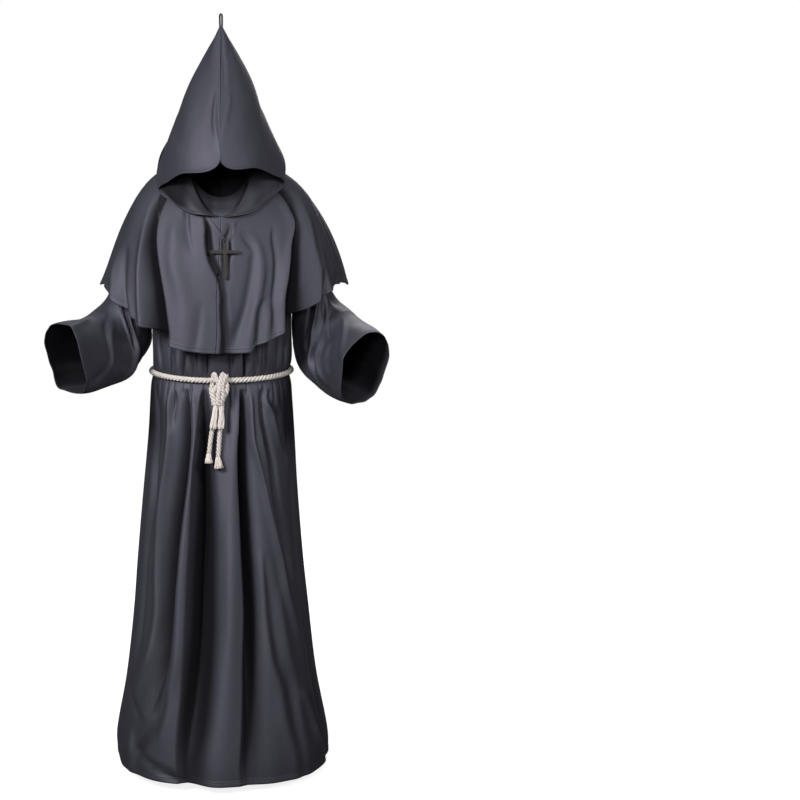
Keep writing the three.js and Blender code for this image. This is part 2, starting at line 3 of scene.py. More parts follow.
import bmesh
import bpy
import numpy as np
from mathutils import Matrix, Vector


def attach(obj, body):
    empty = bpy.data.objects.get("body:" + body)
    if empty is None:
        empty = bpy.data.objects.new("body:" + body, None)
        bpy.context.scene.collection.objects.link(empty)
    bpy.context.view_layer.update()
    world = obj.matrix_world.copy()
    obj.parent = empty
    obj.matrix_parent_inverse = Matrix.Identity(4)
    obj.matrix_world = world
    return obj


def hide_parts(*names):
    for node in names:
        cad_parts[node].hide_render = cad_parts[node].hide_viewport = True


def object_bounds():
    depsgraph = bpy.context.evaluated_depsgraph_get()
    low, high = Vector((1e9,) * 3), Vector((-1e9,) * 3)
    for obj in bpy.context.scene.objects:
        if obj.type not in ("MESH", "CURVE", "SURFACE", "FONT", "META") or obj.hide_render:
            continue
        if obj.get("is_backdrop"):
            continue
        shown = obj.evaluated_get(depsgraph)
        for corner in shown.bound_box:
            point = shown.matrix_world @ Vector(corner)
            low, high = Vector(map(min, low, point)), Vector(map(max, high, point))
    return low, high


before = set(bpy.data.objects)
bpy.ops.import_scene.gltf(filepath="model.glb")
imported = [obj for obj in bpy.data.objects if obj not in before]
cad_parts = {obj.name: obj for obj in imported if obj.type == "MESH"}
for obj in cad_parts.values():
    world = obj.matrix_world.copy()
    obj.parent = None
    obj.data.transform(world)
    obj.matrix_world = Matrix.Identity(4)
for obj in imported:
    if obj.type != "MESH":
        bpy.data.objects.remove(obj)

cad_low, cad_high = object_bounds()

# ------------------------------------------------------------------------------------------------
# Camera: a portrait lens at chest height, four metres in front of the wearer and turned a little to
# the wearer's left, so that the costume stands in the left half of the frame.
LENS_MM = 75
SENSOR_MM = 36
CAMERA_PLACE = (0, -4.0, -0.150)
CAMERA_TURN = (math.radians(84.182), 0, math.radians(-6.096))

camera = bpy.data.objects.new("camera", bpy.data.cameras.new("camera"))
camera.data.lens = LENS_MM
camera.data.sensor_width = SENSOR_MM
camera.location = CAMERA_PLACE
camera.rotation_euler = CAMERA_TURN
bpy.context.scene.collection.objects.link(camera)
bpy.context.scene.camera = camera

# ------------------------------------------------------------------------------------------------
# Free ends of the rope belt. Two short ends hang in front of the knot and fray open at the foot, and
# two long tails hang behind them. All are soft undyed cotton, laid from three strands of loose yarn.
NECK_HEIGHT = 1420  # the base of the wearer's neck, where the frame's origin is, above the robe's hem
MM = 0.001


def in_metres(points):
    """Points in millimetres above the robe's hem, in the frame's metres."""
    return (np.asarray(points, float) - (0, 0, NECK_HEIGHT)) * MM


def smooth(low, high, x):
    """A soft step from 0 at low to 1 at high."""
    t = np.clip((x - low) / (high - low), 0, 1)
    return t * t * (3 - 2 * t)


def through(points, count, fine_steps=24):
    """Evenly spaced points on a smooth curve through a few, in their own units."""
    points = np.asarray(points, float)
    padded = np.vstack([2 * points[0] - points[1], points, 2 * points[-1] - points[-2]])
    t = np.linspace(0, 1, fine_steps, endpoint=False)[:, None]
    pieces = []
    for a, b, c, d in zip(padded, padded[1:], padded[2:], padded[3:]):
        pieces.append(0.5 * (2 * b + (c - a) * t + (2 * a - 5 * b + 4 * c - d) * t**2
                             + (3 * b - a - 3 * c + d) * t**3))
    fine = np.vstack([*pieces, points[-1]])
    run = np.concatenate([[0], np.cumsum(np.linalg.norm(np.diff(fine, axis=0), axis=1))])
    even = np.linspace(0, run[-1], count)
    return np.stack([np.interp(even, run, fine[:, i]) for i in range(3)], axis=-1)


def run_length(line):
    """The length along a line of points."""
    return float(np.linalg.norm(np.diff(line, axis=0), axis=1).sum())


def frames(line):
    """Two directions square to a line at each of its points, which turn with it as little as they can."""
    ahead = np.gradient(line, axis=0)
    ahead /= np.linalg.norm(ahead, axis=1)[:, None]
    start = np.cross(ahead[0], (0, 1, 0) if abs(ahead[0][1]) < 0.9 else (1, 0, 0))
    sides = [start / np.linalg.norm(start)]
    for way in ahead[1:]:
        side = sides[-1] - way * np.dot(sides[-1], way)
        sides.append(side / np.linalg.norm(side))
    sides = np.array(sides)
    return sides, np.cross(ahead, sides)


def new_piece(node, bm, finish):
    """A bmesh as a finished piece of the garment, which stands for a node of the frame."""
    mesh = bpy.data.meshes.new(node + "_finished")
    bm.to_mesh(mesh)
    bm.free()
    mesh.shade_smooth()
    mesh.materials.append(finish.material)
    piece = bpy.data.objects.new(node + "_finished", mesh)
    bpy.context.scene.collection.objects.link(piece)
    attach(piece, "garment")
    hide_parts(node)
    return piece


def add_tube(bm, line, radius_at, sides, twist=0.0, tone=None):
    """Adds a closed tube to a bmesh. line is in millimetres; radius_at(turn, share) gives the radius at
    an angle round it and a share along it, with the twist in turns taken off the angle. A plain yarn
    has no strands in its finish but one tone, which is a share of a strand's turn."""
    steps = len(line) - 1
    side, up = frames(line)
    length = run_length(line) * MM
    grid = bmesh.new()
    bmesh.ops.create_grid(grid, x_segments=sides, y_segments=steps, size=0.5)
    uv = grid.loops.layers.uv.new("strand")
    for vert in grid.verts:
        around, share = vert.co.x + 0.5, vert.co.y + 0.5
        for loop in vert.link_loops:
            loop[uv].uv = (around, share * length) if tone is None else (tone, 0)
    for vert in grid.verts:
        around, share = vert.co.x + 0.5, vert.co.y + 0.5
        row = round(share * steps)
        turn = 2 * math.pi * around
        r = radius_at(turn - 2 * math.pi * twist * share, share)
        at = line[row] + side[row] * r * math.cos(turn) + up[row] * r * math.sin(turn)
        vert.co = Vector(in_metres(at))
    bmesh.ops.remove_doubles(grid, verts=grid.verts, dist=1e-6)
    bmesh.ops.holes_fill(grid, edges=[e for e in grid.edges if e.is_boundary], sides=0)
    bmesh.ops.recalc_face_normals(grid, faces=grid.faces)
    part = bpy.data.meshes.new("part")
    grid.to_mesh(part)
    grid.free()
    bm.from_mesh(part)
    bpy.data.meshes.remove(part)


STRANDS = 3  # in a laid rope


def laid(radius):
    """The outline of a rope of round strands, as a radius at each angle."""
    centre, strand = 0.47 * radius, 0.53 * radius

    def radius_at(turn, share):
        away = (turn * STRANDS / (2 * math.pi) + 0.5) % 1 - 0.5
        away *= 2 * math.pi / STRANDS
        return centre * math.cos(away) + math.sqrt(strand**2 - (centre * math.sin(away)) ** 2)

    return radius_at


class Wire:
    """A socket's value in a material, which Python's operators join up with Math nodes."""

    def __init__(self, socket):
        self.socket = socket

    def maths(self, operation, *values):
        tree = self.socket.id_data
        node = tree.nodes.new("ShaderNodeMath")
        node.operation = operation
        for socket, value in zip(node.inputs, values):
            plug(tree, socket, value)
        return Wire(node.outputs[0])

    def __add__(self, other):
        return self.maths("ADD", self, other)

    def __radd__(self, other):
        return self.maths("ADD", other, self)

    def __sub__(self, other):
        return self.maths("SUBTRACT", self, other)

    def __rsub__(self, other):
        return self.maths("SUBTRACT", other, self)

    def __mul__(self, other):
        return self.maths("MULTIPLY", self, other)

    def __rmul__(self, other):
        return self.maths("MULTIPLY", other, self)

    def __truediv__(self, other):
        return self.maths("DIVIDE", self, other)

    def __mod__(self, other):
        return self.maths("FLOORED_MODULO", self, other)

    def __lt__(self, other):
        return self.maths("LESS_THAN", self, other)

    def __gt__(self, other):
        return self.maths("GREATER_THAN", self, other)

    def sine(self):
        return self.maths("SINE", self)

    def size(self):
        return self.maths("ABSOLUTE", self)


def plug(tree, socket, value):
    if isinstance(value, Wire):
        tree.links.new(value.socket, socket)
    else:
        socket.default_value = value


class Finish:
    """A material and the nodes that make its look."""

    def __init__(self, name, **constants):
        self.material = bpy.data.materials.new(name)
        self.material.use_nodes = True
        self.tree = self.material.node_tree
        self.shader = self.tree.nodes["Principled BSDF"]
        self.whole = Wire(self.shader.outputs[0])
        for socket, value in constants.items():
            self.shader.inputs[socket.replace("_", " ")].default_value = value

    def node(self, kind, settings=None, out=0, **values):
        """A new node's output. Its settings come first, then its sockets' values or links."""
        node = self.tree.nodes.new("ShaderNode" + kind)
        for key, value in (settings or {}).items():
            setattr(node, key, value)
        for socket, value in values.items():
            key = int(socket[1:]) if socket[0] == "i" and socket[1:].isdigit() else socket.replace("_", " ")
            plug(self.tree, node.inputs[key], value)
        return Wire(node.outputs[out])

    def noise(self, where, scale, detail=2.0, roughness=0.5):
        return self.node("TexNoise", Vector=where, Scale=scale, Detail=detail, Roughness=roughness)

    def blend(self, share, first, second):
        """Two colours, or a colour's wires, mixed by a share."""
        return self.node("Mix", {"data_type": "RGBA"}, out=2, i0=share, i6=first, i7=second)

    def stretched(self, where, scale):
        return self.node("Mapping", Vector=where, Scale=scale)

    def object_place(self):
        return self.node("TexCoord", out="Object")

    def surface(self, **wires):
        for socket, wire in wires.items():
            plug(self.tree, self.shader.inputs[socket.replace("_", " ")], wire)

    def bump(self, height, distance, strength=1.0):
        self.surface(Normal=self.node("Bump", Height=height, Distance=distance, Strength=strength))

    def mixed_with_matt(self, share, colour):
        """Mixes a matt shader of one colour into the finish by a share."""
        matt = self.node("BsdfPrincipled", Base_Color=colour, Roughness=1.0, Specular_IOR_Level=0.1)
        self.whole = self.node("MixShader", Fac=share, i1=self.whole, i2=matt)
        plug(self.tree, self.tree.nodes["Material Output"].inputs["Surface"], self.whole)


ROPE_PITCH = 27  # of one strand's turn round a rope, in millimetres
YARNS_ROUND = 18  # yarns seen side by side round a rope
YARN_SLANT = 26  # how much the yarns lean within their strands

cotton = Finish("undyed_cotton", Roughness=0.9, Sheen_Weight=0.15, Sheen_Roughness=0.5,
                Specular_IOR_Level=0.2)
cotton_place = cotton.object_place()
strand_uv = cotton.node("SeparateXYZ", Vector=cotton.node("UVMap", {"uv_map": "strand"}))
strand_turn = strand_uv + Wire(strand_uv.socket.node.outputs["Y"]) * (1000 / ROPE_PITCH)
from_crown = ((strand_turn * STRANDS + 0.5) % 1 - 0.5).size() * 2
groove = from_crown * from_crown * from_crown
yarn = (strand_uv * (2 * math.pi * YARNS_ROUND) - strand_turn * YARN_SLANT).sine()
fluff = cotton.noise(cotton_place, 900, 3, 0.65)
patches = cotton.noise(cotton_place, 55, 2)
fibre = cotton.blend(fluff, (0.80, 0.71, 0.65, 1), (0.95, 0.89, 0.84, 1))
undyed = cotton.blend(patches, fibre, (0.96, 0.90, 0.855, 1))
# Painted shade: the colour darkens in the grooves between a rope's strands; each plain yarn takes one
# darkness from it at random.
cotton.surface(Base_Color=cotton.blend(groove * 0.62, undyed, (0.42, 0.32, 0.27, 1)))
cotton.bump(yarn * 0.45 + fluff * 0.7 - groove * 0.6, 0.0006)

ROPE_YARN = 1.7  # radius of one of the soft yarns that a rope's end opens into, in millimetres
YARN_SIDES = 7  # of each yarn's round
YARN_TONE = 0.15  # how far the yarns differ in shade, as a share of a strand's turn
# The short ends: the bundle's half width at the knot and how far it opens, in millimetres.
FRAY = {"yarns": 14, "neck": 6.4, "opens": 2.2, "ragged": 9.0, "turns": 0.1, "flat": 0.62}

# The routes of the ends from the knot's bundle down, in millimetres, with heights above the hem.
SHORT_ENDS = {
    "belt_end_right": [(-15.5, -151.5, 870.5), (-20, -154.5, 845), (-24, -158.5, 812)],
    "belt_end_left": [(-3.5, -151.5, 870.5), (-4, -154.5, 845), (-6, -158.5, 812)],
}
TAILS = {
    "belt_tail_right": [(-15, -140.6, 870.5), (-22, -144, 830), (-29, -150, 790), (-33, -156, 758)],
    "belt_tail_left": [(-4.5, -140.6, 870.5), (-6, -144, 830), (-9, -150, 790), (-12, -157, 750)],
}
TAIL_RADIUS = 5.6


def add_yarns(bm, line, count, spread, radius, draw, turns=0.25, ragged=3.0, flat=1.0):
    """Adds a bundle of loose wavy yarns round a line. spread(share) is the bundle's half width, flat is
    its depth as a share of that, and draw is the seeded source of the yarns' small differences."""
    side, up = frames(line)
    share = np.linspace(0, 1, len(line))
    for i in range(count):
        ring = math.sqrt((i + 0.5) / count)
        start = i * 2.4 + draw.uniform(-0.2, 0.2)
        wave = draw.uniform(0.2, 0.7) * np.sin(share * draw.uniform(9, 16) + draw.uniform(0, 6))
        turn = start + turns * 2 * math.pi * share
        reach = ring * (spread(share) - radius)
        cut = draw.uniform(0, ragged)
        path = (line + side * (reach * np.cos(turn) + wave)[:, None]
                + up * (flat * reach * np.sin(turn) + wave * 0.6)[:, None])
        path[-1] += (path[-1] - path[-2]) * -cut / max(np.linalg.norm(path[-1] - path[-2]), 1e-6) * 0.5
        thick = radius * draw.uniform(0.85, 1.15)
        add_tube(bm, path, lambda turn, share: thick * (1 - 0.55 * max(share - 0.9, 0) / 0.1), YARN_SIDES,
                 tone=draw.uniform(-YARN_TONE, YARN_TONE))


fray_draw = np.random.default_rng(7)
for name, points in SHORT_ENDS.items():
    line = through(points, 26)
    bm = bmesh.new()
    add_yarns(bm, line, FRAY["yarns"], lambda share: FRAY["neck"] + FRAY["opens"] * smooth(0.2, 0.9, share),
              ROPE_YARN, fray_draw, ragged=FRAY["ragged"], turns=FRAY["turns"], flat=FRAY["flat"])
    piece = new_piece(name, bm, cotton)

# The tails are laid rope, with a slight waver, down to their tassels.
TASSEL_YARNS = 42
TASSEL_YARN = 1.2
TASSELS = {  # each one's line, and its half widths at the neck and the foot
    "belt_tassel_right": ([(-33, -157, 757), (-34, -159, 748), (-35, -162, 734)], 5.6, 10.6),
    "belt_tassel_left": ([(-12, -158, 749), (-12, -160.5, 739), (-11, -164, 722)], 5.6, 12.6),
}
for side in ("right", "left"):
    name = "belt_tassel_" + side
    points, neck, foot = TASSELS[name]
    line = through(points, 16)
    bm = bmesh.new()
    add_tube(bm, line, lambda turn, share: neck * 0.8 + (foot - neck) * 0.55 * share, 14)
    add_yarns(bm, line, TASSEL_YARNS, lambda share: neck + (foot - neck) * share**1.1, TASSEL_YARN,
              fray_draw, turns=0.08, ragged=7.0)
    tassel = new_piece(name, bm, cotton)

    name = "belt_tail_" + side
    points = TAILS[name]
    line = through(points, 110)
    length = run_length(line)
    bm = bmesh.new()
    add_tube(bm, line, laid(TAIL_RADIUS), 24, twist=-length / ROPE_PITCH)
    piece = new_piece(name, bm, cotton)

# ------------------------------------------------------------------------------------------------
# Necklace cord: a thin waxed two-ply cord in a V. Its ends are caught under the cowl and it hangs free
# on the front of the cape down to the ring of the cross.
NECKLACE = [(-27.1, -131.5, 1306.1), (-22.4, -136.6, 1292), (-3.5, -151.9, 1265), (4.5, -151.9, 1252.5),
            (8.5, -152.7, 1250), (12.5, -151.9, 1252.5), (20.5, -151.9, 1265), (35.7, -135.2, 1290.5),
            (42.7, -125.4, 1312.9)]
NECKLACE_RADIUS = 1.0
PLY_PITCH = 5.0

waxed = Finish("waxed_cord", Roughness=0.55, Coat_Weight=0.15, Coat_Roughness=0.4)
wax_bloom = waxed.noise(waxed.object_place(), 400, 2)
waxed.surface(Base_Color=waxed.blend(wax_bloom, (0.045, 0.043, 0.05, 1), (0.13, 0.125, 0.13, 1)))
waxed.bump(wax_bloom, 0.0002)

line = through(NECKLACE, 170)
length = run_length(line)
bm = bmesh.new()
add_tube(bm, line, lambda turn, share: NECKLACE_RADIUS * (0.8 + 0.2 * math.cos(2 * turn)), 12,
         twist=-length / PLY_PITCH)
piece = new_piece("necklace_cord", bm, waxed)

# ------------------------------------------------------------------------------------------------
# Robe front: one full-length panel of satin-faced polyester, cut wide and drawn in by the belt, so
# that soft folds fall from the waist. Its sides run up into the armholes, and its hem is turned up.
def table(columns, *rows):
    """Named columns of numbers. Column s is the place of a row down the piece."""
    return dict(zip(columns.split(), np.array(rows, float).T))


def curve(at, value, s):
    """The value at s on a smooth curve through the rows, which ends level with the first and last."""
    slope = np.gradient(value, at)
    i = np.clip(np.searchsorted(at, s, side="right") - 1, 0, len(at) - 2)
    wide = at[i + 1] - at[i]
    t = np.clip((s - at[i]) / wide, 0, 1)
    return ((2 * t**3 - 3 * t**2 + 1) * value[i] + (t**3 - 2 * t**2 + t) * wide * slope[i]
            + (3 * t**2 - 2 * t**3) * value[i + 1] + (t**3 - t**2) * wide * slope[i + 1])


def squared(value, power):
    return np.sign(value) * np.abs(value) ** power


def mix(a, b, t):
    return a + (b - a) * t


def fold(*rows, lean=0.0, power=2.0, crisp=0.0):
    """One fold's path: rows of place down the piece, angle, half width in degrees and depth. A depth
    over nought is a ridge. lean pushes the cloth sideways there, so that one flank overhangs. crisp
    folds it to a sharp line with one steep flank: at the smaller angles, or the larger if under nought."""
    at, angle, wide, deep = np.array(sorted(rows), float).T
    return {"at": at, "angle": angle, "wide": wide, "deep": deep,
            "lean": lean, "power": power, "crisp": crisp}


def folded(folds, angle, at):
    """What folds add at each angle and place: out along the normal, and along round the body."""
    out, along = np.zeros(np.shape(angle)), np.zeros(np.shape(angle))
    for f in folds:
        centre, wide, deep = (curve(f["at"], f[name], at) for name in ("angle", "wide", "deep"))
        away = ((angle - centre + 180) % 360 - 180) / wide
        sharp = abs(f["crisp"])
        steep = away * f["crisp"] < 0
        away = np.abs(away) / np.where(steep, 1 - 0.5 * sharp, 1 + 0.5 * sharp)
        soft = np.exp(-1.6 * away ** f["power"])
        shape = np.where(steep, mix(soft, np.clip(1 - away, 0, 1) ** 0.85, sharp), soft)
        out += deep * shape
        along += f["lean"] * deep * shape
    return out, along


def threads(u, at, ends, guides):
    """The angle of each thread that runs down a panel. Threads are even between two guides, and follow
    each one: a guide is a share of the panel's threads, a fold, and the degrees to keep from it."""
    shares = [0, *(share for share, _, _ in guides), 1]
    angles = [ends[0], *(curve(f["at"], f["angle"], at) + apart for _, f, apart in guides), ends[1]]
    angle = angles[0]
    for i in range(len(shares) - 1):
        between = np.clip((u - shares[i]) / (shares[i + 1] - shares[i]), 0, 1)
        angle = angle + (angles[i + 1] - angles[i]) * between
    return angle


def ripple(draw, angle, height, size, count=26, along=(0.004, 0.016), round_body=(3, 17)):
    """Shallow waves all over a hanging cloth, longer down it than across it."""
    total = np.zeros(np.shape(angle))
    for _ in range(count):
        across = draw.integers(*round_body)
        down = draw.uniform(*along) * draw.choice([-1, 1])
        total += np.sin(np.radians(angle) * across + height * down + draw.uniform(0, 6.3)) / across**0.5
    return total * size / math.sqrt(count / 8)


HEM_DEEP = 12  # height of the turned-up hems
HEM_STITCH = 10  # height of the stitching above the edge
HEM_ROWS = (0, 3, 6.5, 9, 9.6, 10.4, 11, 12, 13.4, 16, 20)  # rows of threads near an edge


def hem_step(distance):
    """The extra thickness of a turned-up hem and the groove of its stitching, by the distance from
    the edge in millimetres."""
    return 0.7 * (1 - smooth(HEM_DEEP - 0.8, HEM_DEEP + 1.2, distance)) - 0.55 * np.exp(
        -(((distance - HEM_STITCH) / 0.8) ** 2))


WRONG_SIDE = "wrong_side"  # the group of the points of a cloth's inner face
FAR = 500.0  # of a point with no hem near it, in millimetres
FOLD_SHADE = (6, 40)  # depths of a fold between which painted shade is mixed into its cloth, from none to full, in millimetres


def cloth_piece(name, place, across, down, turned=False, thick=1.3, shade=FOLD_SHADE):
    """A wall of cloth. place(u, v) gives points in millimetres, each one's distance along and from the
    nearest hem, and a depth in millimetres that sets its painted shade. across and down are the shares,
    from 0 to 1, at which the cloth has its threads, and shade the depths between which that painted
    shade goes from none to full."""
    across, down = np.asarray(across, float), np.asarray(down, float)
    bm = bmesh.new()
    bmesh.ops.create_grid(bm, x_segments=len(across) - 1, y_segments=len(down) - 1, size=0.5)
    bm.verts.ensure_lookup_table()
    grid = np.array([vert.co[:2] for vert in bm.verts]) + 0.5
    u = across[np.rint(grid[:, 0] * (len(across) - 1)).astype(int)]
    v = down[::-1][np.rint(grid[:, 1] * (len(down) - 1)).astype(int)]
    points, hem, out = place(u, v)
    hem_uv = bm.loops.layers.uv.new("hem")
    painted_shade_layer = bm.verts.layers.float.new("painted_fold_shade")
    # Painted shade: the deeper a point lies in a fold, the larger the share of near-black matt in its
    # satin.
    painted_shade_share = smooth(*shade, -out)
    for vert, point, (run, off), deep in zip(bm.verts, in_metres(points).tolist(), (hem * MM).tolist(),
                                             painted_shade_share.tolist()):
        vert.co = point
        vert[painted_shade_layer] = deep
        for loop in vert.link_loops:
            loop[hem_uv].uv = (run, off)
    bmesh.ops.remove_doubles(bm, verts=bm.verts, dist=1e-6)
    if turned:
        bmesh.ops.reverse_faces(bm, faces=bm.faces)
    piece = new_piece(name, bm, satin)
    wall = piece.modifiers.new("wall", "SOLIDIFY")
    wall.thickness = thick * MM
    wall.offset = -1
    piece.vertex_groups.new(name=WRONG_SIDE)
    wall.shell_vertex_group = WRONG_SIDE
    return piece


ROBE = table(
    "s height half front back drop rise shift tip",
    [0, 1440, 76, 98, 76, 94, 32, 0, 0],  # neckline
    [1, 1423, 108, 107, 92, 101, 26, 0, 0],
    [2, 1404, 140, 113, 105, 98, 17, 0, 0],
    [3, 1380, 166, 119, 114, 91, 9, 0, 0],  # shoulder tip
    [4, 1325, 174, 125, 115, 62, 4, 0, 0],
    [5, 1248, 171, 129, 110, 22, 2, 0, 0],
    [6, 1160, 168, 131, 106, 6, 0, 0, 0],
    [7, 1080, 166, 132, 104, 0, 0, 0, 0],
    [8, 1010, 166, 135, 106, 0, 4, 0, 0],  # blousing over the belt
    [9, 968, 165, 133, 106, 6, 12, 0, 0],
    [10, 950, 163, 127, 102, 12, 18, -1, 0],
    [11, 938, 157, 119, 97, 15, 20, -2, 0],  # belt line
    [12, 924, 163, 123, 101, 14, 18, -3, 0],
    [13, 890, 168, 131, 111, 8, 12, -3, 0],
    [14, 777, 171, 147, 129, 0, 0, -4, 0],
    [15, 660, 177, 163, 144, 0, 0, -6, 0],
    [16, 485, 191, 193, 170, 0, 0, -9, 0],
    [17, 355, 204, 213, 188, 0, 0, -8, 1],
    [18, 200, 224, 237, 208, 0, 0, -9, 3],
    [19, 60, 251, 262, 228, 0, 0, -8, 6],
    [20, 0, 253, 268, 230, 0, 0, -6, 7],  # hem
)
ROBE_OVAL = 0.92  # under 1, so a ring is a little squarer than an ellipse
BELT_HEIGHT = 938
SPLIT = 0.03  # half the gap along a seam, in millimetres


def robe_row(height):
    """The row of the robe's table at a height at the side of the body."""
    rows = np.linspace(0, 20, 2001)
    return np.interp(-np.asarray(height, float), -curve(ROBE["s"], ROBE["height"], rows), rows)


def ring(rows, angle, s, power):
    """An oval ring round the body at an angle: its half width and depth there, the sine and cosine of
    the angle, and the same two squared off by a power."""
    half, front, back = (curve(rows["s"], rows[name], s) for name in ("half", "front", "back"))
    side, ahead = np.sin(np.radians(angle)), np.cos(np.radians(angle))
    depth = np.where(ahead > 0, front, back)
    return half, depth, side, ahead, squared(side, power), squared(ahead, power)


def robe_point(angle, height, outward=0.0, along=0.0):
    """A point of the robe's outer face. along moves it round the ring, in millimetres."""
    s = robe_row(height)
    half, depth, side, ahead, _, _ = ring(ROBE, angle, s, ROBE_OVAL)
    angle = angle + np.degrees(along / np.hypot(half * side, depth * ahead))
    half, depth, side, ahead, across, forward = ring(ROBE, angle, s, ROBE_OVAL)
    drop, rise, shift, tip = (curve(ROBE["s"], ROBE[name], s) for name in ("drop", "rise", "shift", "tip"))
    tilt = np.where(ahead > 0, -drop, rise)
    grow = 1 + outward / np.hypot(half * side, depth * ahead)
    level = curve(ROBE["s"], ROBE["height"], s)
    return np.stack([half * grow * across + shift, -depth * grow * forward,
                     level + tilt * np.abs(ahead) ** 1.3 - tip * side], axis=-1)


# Folds of the skirt: place is the height above the hem, and the rest as fold() says.
THIGH_FOLD = fold(  # the deep one from the belt down the wearer's right thigh
    (915, -27, 3, 0), (887, -26.5, 4, -14), (850, -25.5, 5, -26), (813, -25, 5.5, -36),
    (726, -27, 8, -46), (633, -30.5, 10, -54), (556, -33.5, 12, -58), (414, -36, 13, -56),
    (345, -37, 13, -48), (268, -38, 12, -36), (213, -41, 12, -22), (140, -44, 12, 0), power=1.4, crisp=-1)
VALLEY = fold(  # the wide one between the thigh and the centre
    (915, -13, 3, 0), (880, -14, 4, -14), (813, -14.5, 6, -32), (726, -16, 7.5, -46), (633, -16, 9, -58),
    (556, -16, 10, -66), (494, -16.5, 10.5, -68), (345, -17, 10.5, -66), (213, -18, 10, -56),
    (126, -19, 9.6, -42), (64, -19.5, 9, -28), (0, -19, 8.5, -18), power=2.6, crisp=0.9)
CENTRE_FOLD = fold(  # along the inner edge of the wearer's left thigh
    (915, 14.5, 3, 0), (887, 14.5, 3.4, -20), (813, 14, 4.6, -34), (779, 13.5, 5.2, -40),
    (685, 14, 6, -46), (556, 16, 7, -50), (414, 17, 7.4, -50), (268, 15, 7.6, -44), (213, 14.5, 7.6, -37),
    (126, 13, 7.6, -27), (36, 11, 8, -14), (0, 11, 8, -9), power=2.2, crisp=0.95)
THIGH_EDGE = fold(  # the thin ridge that runs out over that thigh
    (905, 22, 2.5, 0), (887, 22, 3, 4), (813, 23, 3, 7), (779, 24, 2.8, 8), (726, 28, 2.6, 10),
    (685, 31.5, 2.6, 11), (633, 35, 2.6, 11), (556, 41, 2.8, 11), (494, 46, 3, 11), (414, 50, 3.5, 10),
    (345, 56, 4, 8), (268, 64, 5, 4), (190, 68, 5, 0), crisp=-0.6)
